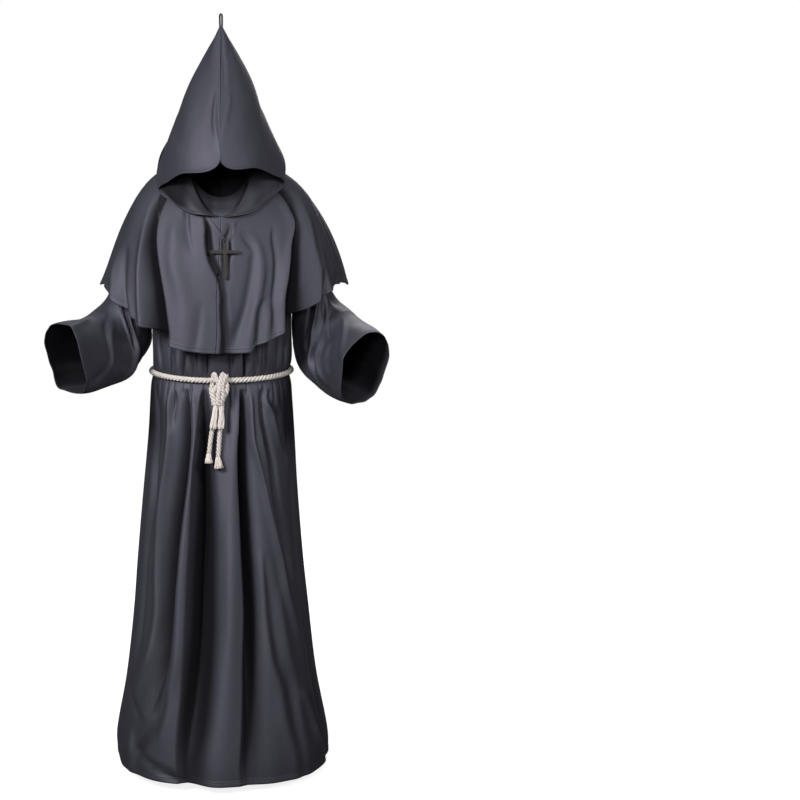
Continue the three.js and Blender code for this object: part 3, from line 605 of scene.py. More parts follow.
SKIRT_FOLDS = [
    THIGH_FOLD, VALLEY, CENTRE_FOLD, THIGH_EDGE,
    # the lit ridge inside the thigh's fold, and the centre panel
    fold((905, -22, 3, 0), (887, -21, 3.5, 3), (813, -19, 4, 6), (726, -20, 4.5, 8), (633, -23, 5, 10),
         (556, -25, 5.5, 10), (414, -27, 6, 10), (268, -28, 6, 10), (213, -30, 6, 8), (126, -32, 6, 6),
         (60, -34, 6, 0)),
    fold((900, 9, 3, 0), (846, 11, 4, 4), (779, 9, 5, 7), (633, 7, 6, 8), (494, 6, 7, 9), (345, 4, 7, 9),
         (213, 2, 8, 8), (36, -2, 9, 6), (0, -3, 9, 6)),
    fold((912, 4, 2, 0), (874, 4, 2.4, -4), (813, 3, 3, -5), (750, 3, 3, 0)),
    # ridges and troughs over the wearer's left thigh
    fold((530, 27, 3, 0), (494, 28, 3.6, 4), (345, 28, 4.6, 5), (268, 31, 5, 5), (213, 35, 5, 5),
         (126, 36, 6, 5), (36, 40, 6, 4), (0, 40, 6, 3)),
    fold((530, 32, 3, 0), (494, 32, 4, -3), (414, 34, 5, -6), (345, 35, 5.5, -7), (268, 37, 5.5, -7),
         (213, 42, 5.5, -7), (126, 43, 5.5, -6), (64, 44, 5, -4), (0, 45, 5, -2)),
    fold((440, 42, 3, 0), (414, 42, 4, 2), (345, 43, 5, 4), (268, 46, 5, 5), (213, 50, 5, 5),
         (126, 49, 5, 4), (60, 50, 5, 3), (0, 50, 5, 2)),
    fold((915, 32, 2, 0), (887, 32, 2.4, -10), (846, 32, 3, -14), (779, 36, 3.4, -18),
         (726, 40, 3.5, -18), (633, 44, 4, -17), (556, 51, 4.5, -15), (494, 56, 5, -12), (420, 60, 5, 0),
         crisp=0.6),
    fold((905, 36, 2, 0), (874, 36, 3, 5), (846, 42, 3.5, 7), (813, 45, 4, 8), (779, 50, 4.5, 8),
         (726, 64, 6, 6), (660, 72, 7, 0)),
    fold((910, 41, 2, 0), (874, 41, 2.5, -7), (846, 50, 3.5, -9), (813, 52, 4, -9), (779, 54, 5, -6),
         (720, 62, 5, 0)),
    # over the wearer's right thigh and side
    fold((915, -44, 3, 0), (887, -44, 3.5, 5), (813, -43, 4, 8), (726, -46, 4.5, 8), (685, -49, 5, 8),
         (633, -52, 5, 8), (494, -54, 5, 8), (345, -52, 5, 8), (268, -55, 5, 7), (213, -61, 5, 5),
         (150, -64, 5, 0)),
    fold((915, -65, 3, 0), (887, -65, 4, -7), (813, -62, 5, -12), (726, -65, 6, -16), (633, -66, 6, -18),
         (556, -71, 6, -19), (345, -74, 6, -18), (268, -73, 6, -12), (180, -74, 6, 0)),
    fold((905, -38.5, 1.5, 0), (890, -39, 2, -7), (846, -40, 2.2, -6), (800, -41, 2.5, 0)),
    fold((905, -33, 2, 0), (887, -32, 2.5, 4), (846, -33, 2.5, 4), (800, -33, 3, 0)),
    # creases that break over the hem
    fold((202, -80, 4, 0), (190, -76, 4, -4), (165, -66, 4, -5), (139, -56, 4, -4), (118, -50, 3, 0)),
    fold((110, -60, 4, 0), (64, -58, 4.5, 7), (20, -57, 5, 5), (0, -57, 5, 4)),
    fold((70, -54, 5, 0), (50, -46, 6, -4), (32, -36, 7, -6), (14, -27, 7, -6), (0, -22, 7, -3)),
    fold((215, -33, 4, 0), (175, -34, 4, -4), (128, -38, 5, -6), (51, -51, 5, -6), (16, -56, 4, 0)),
    fold((205, 54, 3, 0), (185, 55, 3.4, 6), (116, 61, 3.6, 8), (64, 64, 4, 8), (25, 70, 4, 0), lean=0.2),
    fold((190, 62, 3, 0), (150, 66, 4, -8), (90, 70, 4.5, -9), (30, 75, 5, -3), (0, 76, 5, 0)),
    # the sides and the back
    fold((880, 63, 3, 0), (800, 66, 5, -8), (640, 72, 6, -15), (420, 76, 6.5, -17), (150, 80, 7, -12),
         (0, 82, 7, -7)),
    fold((905, 80, 3, 0), (760, 82, 5, 6), (500, 88, 6, 8), (200, 92, 6, 7), (0, 94, 7, 4)),
    fold((905, 96, 3, 0), (820, 97, 4.5, -10), (600, 100, 6, -17), (300, 102, 7, -18), (0, 104, 7, -9)),
    fold((905, -84, 3, 0), (700, -86, 5, 6), (420, -90, 6, 8), (150, -93, 6, 6), (0, -94, 6, 4)),
    fold((905, -99, 3, 0), (800, -99, 4.5, -10), (560, -103, 6, -17), (260, -107, 7, -17),
         (0, -108, 7, -8)),
    fold((915, 112, 3, 0), (850, 113, 4, 6), (600, 115, 5, 9), (280, 118, 6, 9), (0, 120, 6, 5)),
    fold((915, 122, 2.5, 0), (870, 123, 3, -12), (760, 125, 4, -19), (520, 129, 5.5, -22),
         (260, 132, 6.5, -20), (0, 134, 7, -10), lean=0.2),
    fold((915, -113, 3, 0), (850, -114, 4, 6), (600, -117, 5, 9), (260, -121, 6, 9), (0, -123, 6, 5)),
    fold((915, -126, 2.5, 0), (870, -127, 3, -12), (740, -129, 4.4, -20), (500, -133, 5.5, -22),
         (240, -137, 6.5, -19), (0, -139, 7, -9), lean=-0.2),
    fold((915, 139, 3, 0), (860, 140, 3, 7), (640, 142, 4.5, 9), (300, 146, 6, 8), (0, 148, 6, 4)),
    fold((915, 151, 2.5, 0), (870, 152, 2.8, -12), (760, 152, 4, -18), (520, 155, 5, -20),
         (300, 157, 6, -15), (120, 158, 6, 0)),
    fold((915, -143, 3, 0), (860, -144, 3, 7), (640, -146, 4.5, 9), (300, -150, 6, 8), (0, -152, 6, 4)),
    fold((915, -155, 2.5, 0), (870, -155, 2.8, -12), (740, -156, 4, -18), (480, -159, 5, -19),
         (260, -161, 6, -13), (100, -162, 6, 0)),
]
# Gathers drawn in above the belt, where the cloth blouses over it.
BLOUSE_ANGLES = (-104, -90, -76, -60, -43, -33, -22, -13, 6, 17.5, 27, 34.5, 51, 64, 78, 92, 106,
                 119, 131, 142, 152, 163, -163, -152, -141, -130, -118)
gather_draw = np.random.default_rng(31)
BLOUSE_FOLDS = []
for angle in BLOUSE_ANGLES:
    high = gather_draw.uniform(1020, 1075)
    wide = gather_draw.uniform(1.8, 2.8)
    deep = gather_draw.uniform(5, 10)
    away = gather_draw.uniform(-2.5, 2.5)
    BLOUSE_FOLDS.append(fold(
        (high, angle + away, 2.5 * wide, 0), (990, angle + 0.5 * away, 1.6 * wide, -deep * 0.8),
        (960, angle, wide, -deep), (946, angle, 0.8 * wide, -deep * 0.6), (939, angle, 0.8 * wide, -1),
        (934, angle, wide, 0)))
PINCHED_ANGLES = (-45, -32, -11, 17, 37)  # the sharp ones that the belt pinches at the front
for angle in PINCHED_ANGLES:
    BLOUSE_FOLDS.append(fold(
        (1035, angle * 0.97, 3, 0), (1004, angle * 0.98, 1.5, -8), (965, angle, 1.2, -13),
        (948, angle, 1.1, -9), (937, angle, 1.3, 0)))
# Short thin gathers just under the belt, between the long folds.
SHORT_GATHERS = []
for angle in np.arange(-176, 177, 8.5):
    at = angle + gather_draw.uniform(-2.5, 2.5)
    low = gather_draw.uniform(800, 860)
    deep = gather_draw.uniform(1.5, 4)
    SHORT_GATHERS.append(fold(
        (low, at * 1.02, 3, 0), (880, at, 1.8, -deep * 0.8), (908, at, 1.3, -deep),
        (922, at, 1.2, -deep * 0.6), (932, at, 1.2, 0)))
ROBE_FOLDS = SKIRT_FOLDS + BLOUSE_FOLDS + SHORT_GATHERS


def robe_folds(angle, height):
    """What the robe's folds and its shallow waves add, which are held still where the belt presses."""
    out, along = folded(ROBE_FOLDS, angle, height)
    draw = np.random.default_rng(5)
    above, below = smooth(BELT_HEIGHT, 1000, height), smooth(BELT_HEIGHT, 700, height)
    calm = np.where(height > BELT_HEIGHT, above, below)
    return out + ripple(draw, angle, height, 1.1) * calm, along


SKIRT_REACH = 255  # of the hem from the body's middle, which turns an angle into a length of stitching
COWL_SHADE = (1290, 1320)  # heights between which the robe is painted with the shade of the cowl
HEM_SHADE = {"depth": 14, "from": 430, "full": 60}  # painted shade that deepens on the skirt towards the floor


def robe_panel(edges, guides=(), lap=None):
    """The place function of a robe's panel between two angles, which vary with the height."""

    def place(u, v):
        height = np.interp(v, np.linspace(0, 1, len(ROBE_HEIGHTS)), ROBE_HEIGHTS)
        angle = threads(u, height, edges(height), guides)
        out, along = robe_folds(angle, height)
        out = out + hem_step(height)
        if lap is not None:
            out = out + lap(angle, height)
        points = robe_point(angle, height, out, along)
        run = np.radians(angle) * SKIRT_REACH
        # Painted shade of the cowl over the robe near the neck, most on the wearer's right.
        painted_cowl_shade = smooth(*COWL_SHADE, points[..., 2]) * (0.7 + 0.3 * smooth(12, 28, -points[..., 0]))
        # Painted shade that grows towards the hem.
        painted_hem_shade = HEM_SHADE["depth"] * smooth(HEM_SHADE["from"], HEM_SHADE["full"], height)
        return points, np.stack([run, height], axis=-1), out - FOLD_SHADE[1] * painted_cowl_shade - painted_hem_shade

    return place


ARMHOLE = {"centre": 1264, "half_height": 104, "half_angle": 34, "inset": 1.5, "inset_angle": 0.8, "out": 1}
ROBE_HEIGHTS = np.concatenate([
    np.linspace(1440, 1000, 44, endpoint=False), np.linspace(1000, 850, 40, endpoint=False),
    np.linspace(850, 26, 100, endpoint=False), np.array(HEM_ROWS[::-1])])


def armhole_angle(height):
    """Half the angle that an armhole takes out of the robe at a height."""
    t = (height - ARMHOLE["centre"]) / ARMHOLE["half_height"]
    return ARMHOLE["half_angle"] * np.sqrt(np.clip(1 - t**2, 0, 1))


def seam_angle(height):
    """The angle that half the gap of a seam takes up."""
    return np.degrees(SPLIT / curve(ROBE["s"], ROBE["half"], robe_row(height)))


def front_edges(height):
    edge = 90 - armhole_angle(height) - seam_angle(height)
    return -edge, edge


STITCH = {"half_wide": 0.0007, "pitch": 0.0042, "thread": 0.68}  # in metres, and the share in sight

satin = Finish("charcoal_satin", IOR=2.0, Specular_Tint=(0.82, 0.81, 1.0, 1))
satin_place = satin.object_place()
hem_uv = satin.node("SeparateXYZ", Vector=satin.node("UVMap", {"uv_map": "hem"}))
hem_run, hem_off = hem_uv, Wire(hem_uv.socket.node.outputs["Y"])
stitch_row = ((hem_off - HEM_STITCH * MM).size() < STITCH["half_wide"]) * (
    ((hem_run / STITCH["pitch"]) % 1) < STITCH["thread"])
weft = satin.noise(satin.stretched(satin_place, (500, 500, 60)), 1.0, 2)
warp = satin.noise(satin.stretched(satin_place, (90, 90, 900)), 1.0, 2)
crumple = satin.noise(satin.stretched(satin_place, (1, 1, 0.4)), 34, 3, 0.55)
tone = satin.noise(satin.stretched(satin_place, (1, 1, 0.5)), 7, 2)
# the share of painted shade that each piece sets in its folds
deep = satin.node("Attribute", {"attribute_name": "painted_fold_shade"}, out="Fac")
dye = satin.blend(tone, satin.blend(weft, (0.017, 0.017, 0.023, 1), (0.026, 0.026, 0.035, 1)),
                  (0.021, 0.021, 0.029, 1))
satin.surface(Base_Color=satin.blend(stitch_row * 0.6, dye, (0.008, 0.008, 0.011, 1)),
              Roughness=0.62 + tone * 0.08)
satin.bump(crumple * 0.9 + weft * 0.06 + warp * 0.05 - stitch_row * 0.25, 0.0016, 0.8)
wrong_side = satin.node("Attribute", {"attribute_name": WRONG_SIDE}, out="Fac")
# The inner face gets half a lighter matt grey: the satin's duller wrong side, and also painted light, so
# that hollows such as the cuffs don't go black.
satin.mixed_with_matt(wrong_side * 0.5, (0.045, 0.044, 0.053, 1))
# Painted shade: a near-black matt mixed in where the folds are deep.
satin.mixed_with_matt(deep * 0.86, (0.008, 0.008, 0.010, 1))

FRONT_GUIDES = ((0.28, THIGH_FOLD, 0), (0.42, VALLEY, 0), (0.60, CENTRE_FOLD, 0), (0.74, THIGH_EDGE, 0))
ROBE_DOWN = np.linspace(0, 1, len(ROBE_HEIGHTS))
cloth_piece("robe_front", robe_panel(front_edges, FRONT_GUIDES), np.linspace(0, 1, 251), ROBE_DOWN)

# ------------------------------------------------------------------------------------------------
# Robe back: two panels of the same satin. The centre back is open from the neck to below the belt,
# where the left panel laps over the right one, and is seamed from there down.
BACK_OPENING_END = 790
LAP = {"degrees": 9, "lift": 4, "from": 160, "full": 176}


def back_lap(angle, height):
    """How far the left panel is lifted where it lies over the right one."""
    open_above = smooth(BACK_OPENING_END - 60, BACK_OPENING_END + 20, height)
    return LAP["lift"] * open_above * smooth(LAP["from"], LAP["full"], angle)


def lap_width(height):
    """How many degrees the left panel reaches past the centre."""
    return LAP["degrees"] * smooth(BACK_OPENING_END + 20, BACK_OPENING_END + 150, height)


def back_left_edges(height):
    return 90 + armhole_angle(height) + seam_angle(height), 180 - seam_angle(height) + lap_width(height)


def back_right_edges(height):
    return -180 + seam_angle(height), -90 - armhole_angle(height) - seam_angle(height)


cloth_piece("robe_back_left", robe_panel(back_left_edges, lap=back_lap), np.linspace(0, 1, 131), ROBE_DOWN)
cloth_piece("robe_back_right", robe_panel(back_right_edges), np.linspace(0, 1, 126), ROBE_DOWN)

# ------------------------------------------------------------------------------------------------
# Sleeves: wide bell sleeves of one piece each, set into the armholes. They hang from the shoulders,
# bend at the elbow and open towards the hands, with a turned-up hem round each mouth.
SLEEVE = table(
    "s topX topY topZ underX underY underZ wide swing",
    [1, 203, 4, 1338, 168, 14, 1090, 78, 0],
    [2, 226, 7, 1282, 167, 22, 1036, 80, 0],
    [3, 248, 8, 1208, 172, 22, 1000, 80, 0],
    [4, 274, 4, 1118, 192, 6, 960, 76, 12],
    [5, 300, -28, 1080, 218, -38, 928, 72, 26],
    [6, 318, -90, 1066, 246, -100, 906, 68, 38],
    [7, 333, -160, 1060, 276, -164, 896, 66, 48],
    [8, 345, -236, 1055, 303, -232, 888, 66, 57],
)
SLEEVE_ROWS = 8
SLEEVE_OVAL = 0.86  # as the robe's
SLEEVE_STEP = 72  # millimetres between two rows at the cuff
SLEEVE_REACH = 85  # of the cuff's edge from its middle
# How each sleeve differs from the table: how much further out its upper arm is, how much further out
# and higher its top line and its under line end at the cuff, and the cuff's swing.
ARM = {
    "left": {"upper_out": 0, "top_out": -6, "top_lift": -17, "under_out": 0, "under_lift": -12,
             "swing": 0},
    "right": {"upper_out": -12, "top_out": 18, "top_lift": 8, "under_out": 30, "under_lift": 16,
              "swing": -13},
}


def sleeve_point(turn, s, arm):
    """A point of a left sleeve's outer face. turn is measured round it from its top line to its front."""
    up, along = np.cos(np.radians(turn)), np.sin(np.radians(turn))
    at = np.maximum(s, 1)
    share = ((at - 1) / (SLEEVE_ROWS - 1)) ** 2.4

    def read(name):
        return curve(SLEEVE["s"], SLEEVE[name], at)

    top = np.stack([read("topX") + mix(arm["upper_out"], arm["top_out"], share), read("topY"),
                    read("topZ") + arm["top_lift"] * share], axis=-1)
    under = np.stack([read("underX") + arm["under_out"] * share, read("underY"),
                      read("underZ") + arm["under_lift"] * share], axis=-1)
    swing = np.radians(read("swing") + arm["swing"] * share)
    wide = read("wide") * squared(along, SLEEVE_OVAL)
    tube = ((top + under) / 2 + (top - under) / 2 * squared(up, SLEEVE_OVAL)[..., None]
            + np.stack([-np.sin(swing) * wide, -np.cos(swing) * wide, 0 * wide], axis=-1))
    height = ARMHOLE["centre"] + (ARMHOLE["half_height"] - ARMHOLE["inset"]) * up
    angle = 90 - (armhole_angle(height) - ARMHOLE["inset_angle"]) * np.sign(along)
    armhole = robe_point(angle, height, ARMHOLE["out"])
    t = np.minimum(s, 1)[..., None]
    return armhole * (1 - t) + tube * t


def pushed(surface, a, b, out, along, step=(0.5, 0.01)):
    """surface(a, b) with each point moved out along its normal and along the direction of a."""
    across = surface(a + step[0], b) - surface(a - step[0], b)
    down = surface(a, b + step[1]) - surface(a, b - step[1])
    normal = np.cross(down, across)
    normal /= np.maximum(np.linalg.norm(normal, axis=-1), 1e-9)[..., None]
    across /= np.maximum(np.linalg.norm(across, axis=-1), 1e-9)[..., None]
    return surface(a, b) + normal * out[..., None] + across * along[..., None]


# Folds of each sleeve: place is the row of the table, and the angle is the turn round it from the top.
SLEEVE_FOLDS = {
    "right": [
        fold((3.2, 40, 8, 0), (3.5, 47, 7, 7), (3.7, 70, 7, 9), (3.9, 90, 8, 5), (4.2, 110, 9, 0)),
        fold((3.4, 50, 8, 0), (3.8, 58, 6, -7), (4.0, 78, 6, -9), (4.2, 96, 7, -5), (4.5, 120, 9, 0)),
        fold((2.8, 76, 10, 0), (3.2, 92, 9, 7), (3.5, 104, 9, 8), (3.9, 130, 10, 6), (4.4, 160, 12, 0)),
        fold((3.3, 84, 9, 0), (3.7, 94, 8, -8), (4.0, 112, 9, -14), (4.5, 128, 10, -12),
             (5.4, 150, 12, -8), (6.6, 160, 14, 0)),
        fold((4.2, 40, 10, 0), (5.1, 48, 10, 5), (5.6, 60, 10, 6), (6.6, 110, 12, 6), (7.6, 130, 12, 4),
             (8, 136, 12, 3)),
        fold((4.6, 60, 10, 0), (5.2, 66, 10, -5), (5.8, 78, 10, -7), (6.3, 100, 12, -6),
             (7.2, 136, 14, 0)),
        fold((5.5, 10, 12, 0), (6.5, 20, 12, -6), (7.5, 28, 12, -6), (8, 30, 12, -4)),
        fold((2, 200, 14, 0), (4, 205, 14, -12), (6, 215, 14, -10), (8, 220, 14, -5)),
        fold((2, 240, 14, 0), (3.6, 240, 14, 8), (5.5, 246, 14, 8), (8, 250, 14, 4)),
        fold((3, 275, 14, 0), (4.5, 275, 12, -12), (6, 285, 12, -9), (8, 290, 14, -3)),
        fold((2.5, 320, 14, 0), (4.5, 315, 14, 7), (6.5, 320, 14, 6), (8, 325, 14, 2)),
    ],
    "left": [
        fold((2.9, 0, 34, 0), (3.3, 0, 34, 12), (3.7, 0, 34, 22), (4.1, 2, 34, 22), (4.5, 5, 30, 8),
             (4.9, 8, 28, 0)),
        fold((2.8, 84, 8, 0), (3.1, 92, 7, 8), (3.4, 102, 7, 9), (3.9, 116, 8, 9), (4.3, 124, 9, 8),
             (4.9, 132, 9, 6), (5.6, 142, 10, 0)),
        fold((3.0, 70, 8, 0), (3.4, 80, 7, -8), (3.9, 90, 7, -13), (4.5, 100, 8, -11), (4.9, 116, 9, -10),
             (5.4, 140, 10, -6), (6, 160, 10, 0)),
        fold((3.2, 50, 8, 0), (3.8, 59, 7, 6), (4.6, 80, 7, 7), (4.8, 96, 8, 7), (5.2, 108, 8, 7),
             (5.5, 126, 10, 5), (6, 150, 10, 0)),
        fold((3.8, 44, 8, 0), (4.7, 76, 7, -7), (5.1, 83, 7, -10), (5.3, 94, 7, -12), (5.6, 104, 8, -10),
             (6.2, 122, 10, -6), (6.8, 140, 12, 0)),
        fold((4.2, 44, 8, 0), (5.0, 70, 7, 6), (5.7, 73, 8, 7), (6.0, 83, 8, 7), (6.4, 91, 8, 5),
             (7.2, 110, 10, 0)),
        fold((5, 20, 10, 0), (6.3, 42, 10, -6), (6.9, 55, 10, -7), (7.4, 67, 10, -5), (8, 76, 12, -3)),
        fold((2, 160, 14, 0), (4, 155, 14, -12), (6, 165, 14, -10), (8, 170, 14, -5)),
        fold((2, 200, 14, 0), (3.6, 200, 14, 8), (5.5, 206, 14, 8), (8, 210, 14, 4)),
        fold((2.4, 240, 12, 0), (4, 240, 12, -12), (6, 248, 12, -9), (8, 250, 14, -3)),
        fold((2.5, 285, 14, 0), (4.5, 285, 14, 7), (6.5, 292, 14, 6), (8, 295, 14, 2)),
        fold((3, 325, 12, 0), (4.5, 322, 12, -7), (6.5, 326, 14, -6), (8, 330, 14, -2)),
    ],
}
SLEEVE_STEPS = np.concatenate([
    np.linspace(0, 2.6, 22, endpoint=False), np.linspace(2.6, 7.72, 84, endpoint=False),
    SLEEVE_ROWS - np.array(HEM_ROWS[::-1]) / SLEEVE_STEP])
SLEEVE_INNER = (0.02, 7.985)  # rows within which the surface can be measured on both sides

for name, side in (("left", 1), ("right", -1)):
    arm = ARM[name]
    draw = np.random.default_rng(11 if side > 0 else 12)
    waves = [(draw.integers(1, 6), draw.uniform(0.6, 2.6), draw.uniform(0, 6.3)) for _ in range(9)]

    def place(u, v, arm=arm, side=side, name=name, waves=waves):
        s = np.interp(v, np.linspace(0, 1, len(SLEEVE_STEPS)), SLEEVE_STEPS)
        inner = np.clip(s, *SLEEVE_INNER)
        turn = -side * (u * 360)
        out, along = folded(SLEEVE_FOLDS[name], turn, s)
        for around, down, start in waves:
            out = out + 0.9 * np.sin(np.radians(turn) * around + s * down + start)
        off = (SLEEVE_ROWS - s) * SLEEVE_STEP
        out = out * smooth(1.6, 3.2, s) + hem_step(off)
        points = pushed(lambda a, b: sleeve_point(a, b, arm), turn, inner, out, along)
        rest = sleeve_point(turn, s, arm) - sleeve_point(turn, inner, arm)
        points = np.where((s >= SLEEVE_INNER[1])[..., None], points + rest, points)
        points = points * (side, 1, 1)
        return points, np.stack([np.radians(turn) * SLEEVE_REACH, off], axis=-1), out

    cloth_piece("sleeve_" + name, place, np.linspace(0, 1, 121), np.linspace(0, 1, len(SLEEVE_STEPS)))

# ------------------------------------------------------------------------------------------------
# Cape: a shoulder cape cut in two halves, seamed at the centre front. At the centre back the right half
# laps over the left one. Its hem is turned up, and the neck edge is sewn to the hood.
CAPE = table(
    "s half sideZ front frontZ back backZ shift",
    [0, 76, 1446, 134, 1302, 78, 1494, 0],
    [1, 114, 1424, 141, 1272, 94, 1468, 2],
    [2, 156, 1400, 148, 1232, 112, 1432, 4],
    [3, 185, 1374, 153, 1200, 126, 1400, 6],
    [4, 214, 1334, 158, 1158, 138, 1358, 8],
    [5, 236, 1290, 163, 1114, 147, 1310, 10],
    [6, 256, 1240, 168, 1072, 154, 1262, 11],
    [7, 274, 1188, 173, 1028, 160, 1214, 10],
    [8, 290, 1138, 178, 988, 165, 1170, 6],
)
CAPE_ROWS = 8
CAPE_OVAL = 0.9  # as the robe's
CAPE_LAP = {"lift": 4, "under": 4, "top": 4, "hem": 36, "from": -150, "full": -176}

# Folds of the cape: place is the row of its table.
RIGHT_FOLD = fold(  # the deep one from the wearer's right shoulder down to the hem
    (0.9, -66, 4, 0), (1.4, -65, 4.6, -4), (2.0, -62, 5.2, -8), (2.5, -60, 5.6, -14),
    (2.9, -58.5, 5.8, -24), (3.4, -55, 5.8, -38), (4.2, -48, 5.6, -52), (5, -41.8, 5.2, -54),
    (5.9, -36, 4.9, -54), (6.5, -33.2, 5, -54), (7.5, -29.3, 5.2, -52), (8, -28.5, 5.2, -50), power=2.6,
    crisp=-0.5)
LEFT_FOLD = fold(  # the same from the wearer's left shoulder, and the deepest of all
    (1.0, 68, 3.6, 0), (1.7, 67, 4.2, -5), (2.4, 64.5, 5, -12), (3.0, 61, 5.4, -24), (3.6, 51.5, 6, -42),
    (4.2, 43.8, 6.6, -54), (4.9, 38, 7.2, -58), (5.6, 33.5, 7.4, -60), (6.4, 31, 8, -60),
    (7.6, 29, 8, -58), (8, 28.5, 8, -56), power=2.6, crisp=0.9)
SEAM_FOLD = fold(  # where the wearer's left half falls away from the centre front seam
    (0.4, -24, 4, 0), (1.1, -16, 3.5, -12), (1.7, -13, 3.4, -15), (2.4, -10.5, 3.2, -14),
    (3.2, -7.5, 3, -15), (3.8, -3.5, 3, -15), (4.6, -1.8, 2, -14), (5.7, -1.8, 2, -14),
    (7.2, -0.8, 2.2, -15), (8, -0.4, 2.6, -14), power=1.8, crisp=0.9)
CAPE_FOLDS = [
    RIGHT_FOLD, LEFT_FOLD, SEAM_FOLD,
    fold((2.4, -66, 5, 0), (3.4, -59.5, 5, 5), (4.2, -55, 5, 9), (5.2, -50, 5, 14), (6.2, -44.5, 4.6, 17),
         (6.8, -41.5, 4.4, 18), (7.4, -38.5, 4.2, 18), (8, -36, 4.2, 16), crisp=-0.4),
    fold((5.2, -70, 5, 0), (6.2, -66, 5, -8), (6.9, -61, 4.5, -12), (7.4, -56, 4.5, -14),
         (8, -52, 5, -14)),
    fold((5.6, -78, 5, 0), (6.8, -74, 5, 7), (7.4, -66, 5, 8), (8, -62, 5, 8)),
    # the panel between it and the centre
    fold((0.4, -46, 5, 0), (1, -42, 5, -4), (1.6, -34, 5, -5), (2.4, -26, 5, -3), (3.2, -20, 5, 0)),
    fold((1.6, -42, 7, 0), (2.4, -38, 8, 5), (3.6, -32, 9, 6), (5.4, -21, 9, 7), (7.4, -16, 9, 7),
         (8, -14, 9, 6)),
    fold((5.2, -12, 2.5, 0), (6.4, -12, 2.5, -3.5), (7.4, -12, 2.5, -4), (8, -12, 2.5, -3)),
    fold((2.4, -3, 3, 0), (3.1, -2.5, 2.5, 4), (4.4, -0.5, 2.5, 4), (6.3, 0.5, 2.5, 4), (8, 1, 3, 2)),
    fold((0.5, 6, 4, 0), (1, 7, 4, -6), (1.7, 3, 3.5, -10), (2.4, 3, 2.8, -9), (3.1, 1.5, 2.2, -5),
         (4, 2, 2.5, 0)),
    # soft folds from the neck to the hem on the wearer's left
    fold((1.2, 16, 4, 0), (1.8, 18.5, 4, -5), (2.8, 20, 4, -4), (3.4, 17, 4, -5), (4.5, 12, 3.6, -6),
         (5.7, 8, 3.6, -8), (6.9, 4, 3.6, -9), (8, 2, 4, -7)),
    fold((1.6, 24, 4, 0), (2.6, 24.5, 4, 4), (3.6, 22, 4, 5), (5.2, 15, 3.6, 6), (6.4, 11, 3.6, 6),
         (8, 10, 4, 5)),
    fold((5.2, 18, 3, 0), (5.8, 15, 2.6, -4), (6.5, 14, 2.6, -6), (7.4, 13, 2.8, -7), (8, 12, 3, -6)),
    fold((5.4, 20, 3, 0), (6, 19.5, 3, 4), (7.2, 17, 3, 5), (8, 16, 3, 4)),
    fold((2.2, 42, 4, 0), (2.8, 38, 3.5, -5), (3.6, 34, 3, -6), (4.4, 29.5, 2.8, -6),
         (5.4, 24.5, 2.8, -6), (6.7, 22, 2.8, -5), (7.6, 21, 3, 0)),
    # beside the fold from the wearer's left shoulder, and outside it
    fold((1.6, 62, 4, 0), (2.6, 58, 4, 5), (3.2, 54, 4, 8), (3.6, 45, 4, 9), (4.2, 38.5, 4, 10),
         (4.9, 33, 4, 11), (5.6, 28.5, 4, 11), (6.4, 26.5, 4, 11), (7.6, 24.5, 4, 11), (8, 24, 4, 10),
         crisp=-0.4),
    fold((2.8, 76, 5, 0), (3.7, 68, 6, 5), (4.5, 61, 6, 8), (5.6, 56, 5.6, 10), (6.6, 52, 5, 11),
         (7.4, 49, 5, 11), (8, 47, 5, 9)),
    fold((5.8, 60, 4, 0), (6.5, 56, 4, -7), (7, 53, 4, -14), (7.5, 50, 4, -12), (8, 47, 5, -8)),
    fold((4.8, 66, 5, 0), (5.8, 62, 5, 6), (6.7, 60, 4.6, 8), (7.5, 60, 5, 9), (8, 58, 5, 8)),
    fold((6.6, 74, 5, 0), (7.1, 72, 4.6, -6), (7.7, 68, 5, -10), (8, 66, 5, -9)),
    # the sides and the back
    fold((3.6, 88, 6, 0), (5, 86, 6, -8), (6.6, 84, 6.5, -13), (8, 82, 7, -14)),
    fold((3.8, -88, 6, 0), (5, -89, 6, -8), (6.6, -90, 6.5, -13), (8, -90, 7, -14)),
    fold((3.6, 102, 7, 0), (5.4, 102, 7, 9), (8, 100, 7.5, 12)),
    fold((3.6, -103, 7, 0), (5.4, -103, 7, 9), (8, -103, 7.5, 12)),
    fold((2.4, 126, 6, 0), (4, 121, 6.5, -11), (6, 118, 7, -18), (8, 116, 7.5, -20)),
    fold((2.4, -124, 6, 0), (4, -119, 6.5, -11), (6, -117, 7, -17), (8, -115, 7.5, -19)),
    fold((1.4, 150, 6, 0), (3, 143, 6, 9), (5.4, 136, 6, 13), (8, 131, 6.5, 13)),
    fold((1.4, -150, 6, 0), (3, -143, 6, 8), (5.4, -138, 6, 12), (8, -134, 6.5, 13)),
    fold((1.4, 158, 5, 0), (3, 154, 5.5, -8), (5.4, 150, 6, -13), (8, 147, 6.5, -14)),
    fold((1.6, -160, 5, 0), (3.4, -158, 5, -8), (5.8, -156, 5.5, -12), (8, -155, 6, -13)),
    fold((1.0, 172, 4, 0), (2.6, 170, 4.5, 7), (5, 168, 5, 9), (8, 166, 5.5, 9)),
]


def cape_base(angle, s, outward=0.0):
    """A point of the cape's outer face."""
    half, depth, side, ahead, across, forward = ring(CAPE, angle, s, CAPE_OVAL)
    end = np.where(ahead > 0, curve(CAPE["s"], CAPE["frontZ"], s), curve(CAPE["s"], CAPE["backZ"], s))
    middle = curve(CAPE["s"], CAPE["sideZ"], s)
    grow = 1 + outward / np.hypot(half * side, depth * ahead)
    return np.stack([half * grow * across + curve(CAPE["s"], CAPE["shift"], s), -depth * grow * forward,
                     middle + (end - middle) * np.abs(ahead) ** 1.35], axis=-1)


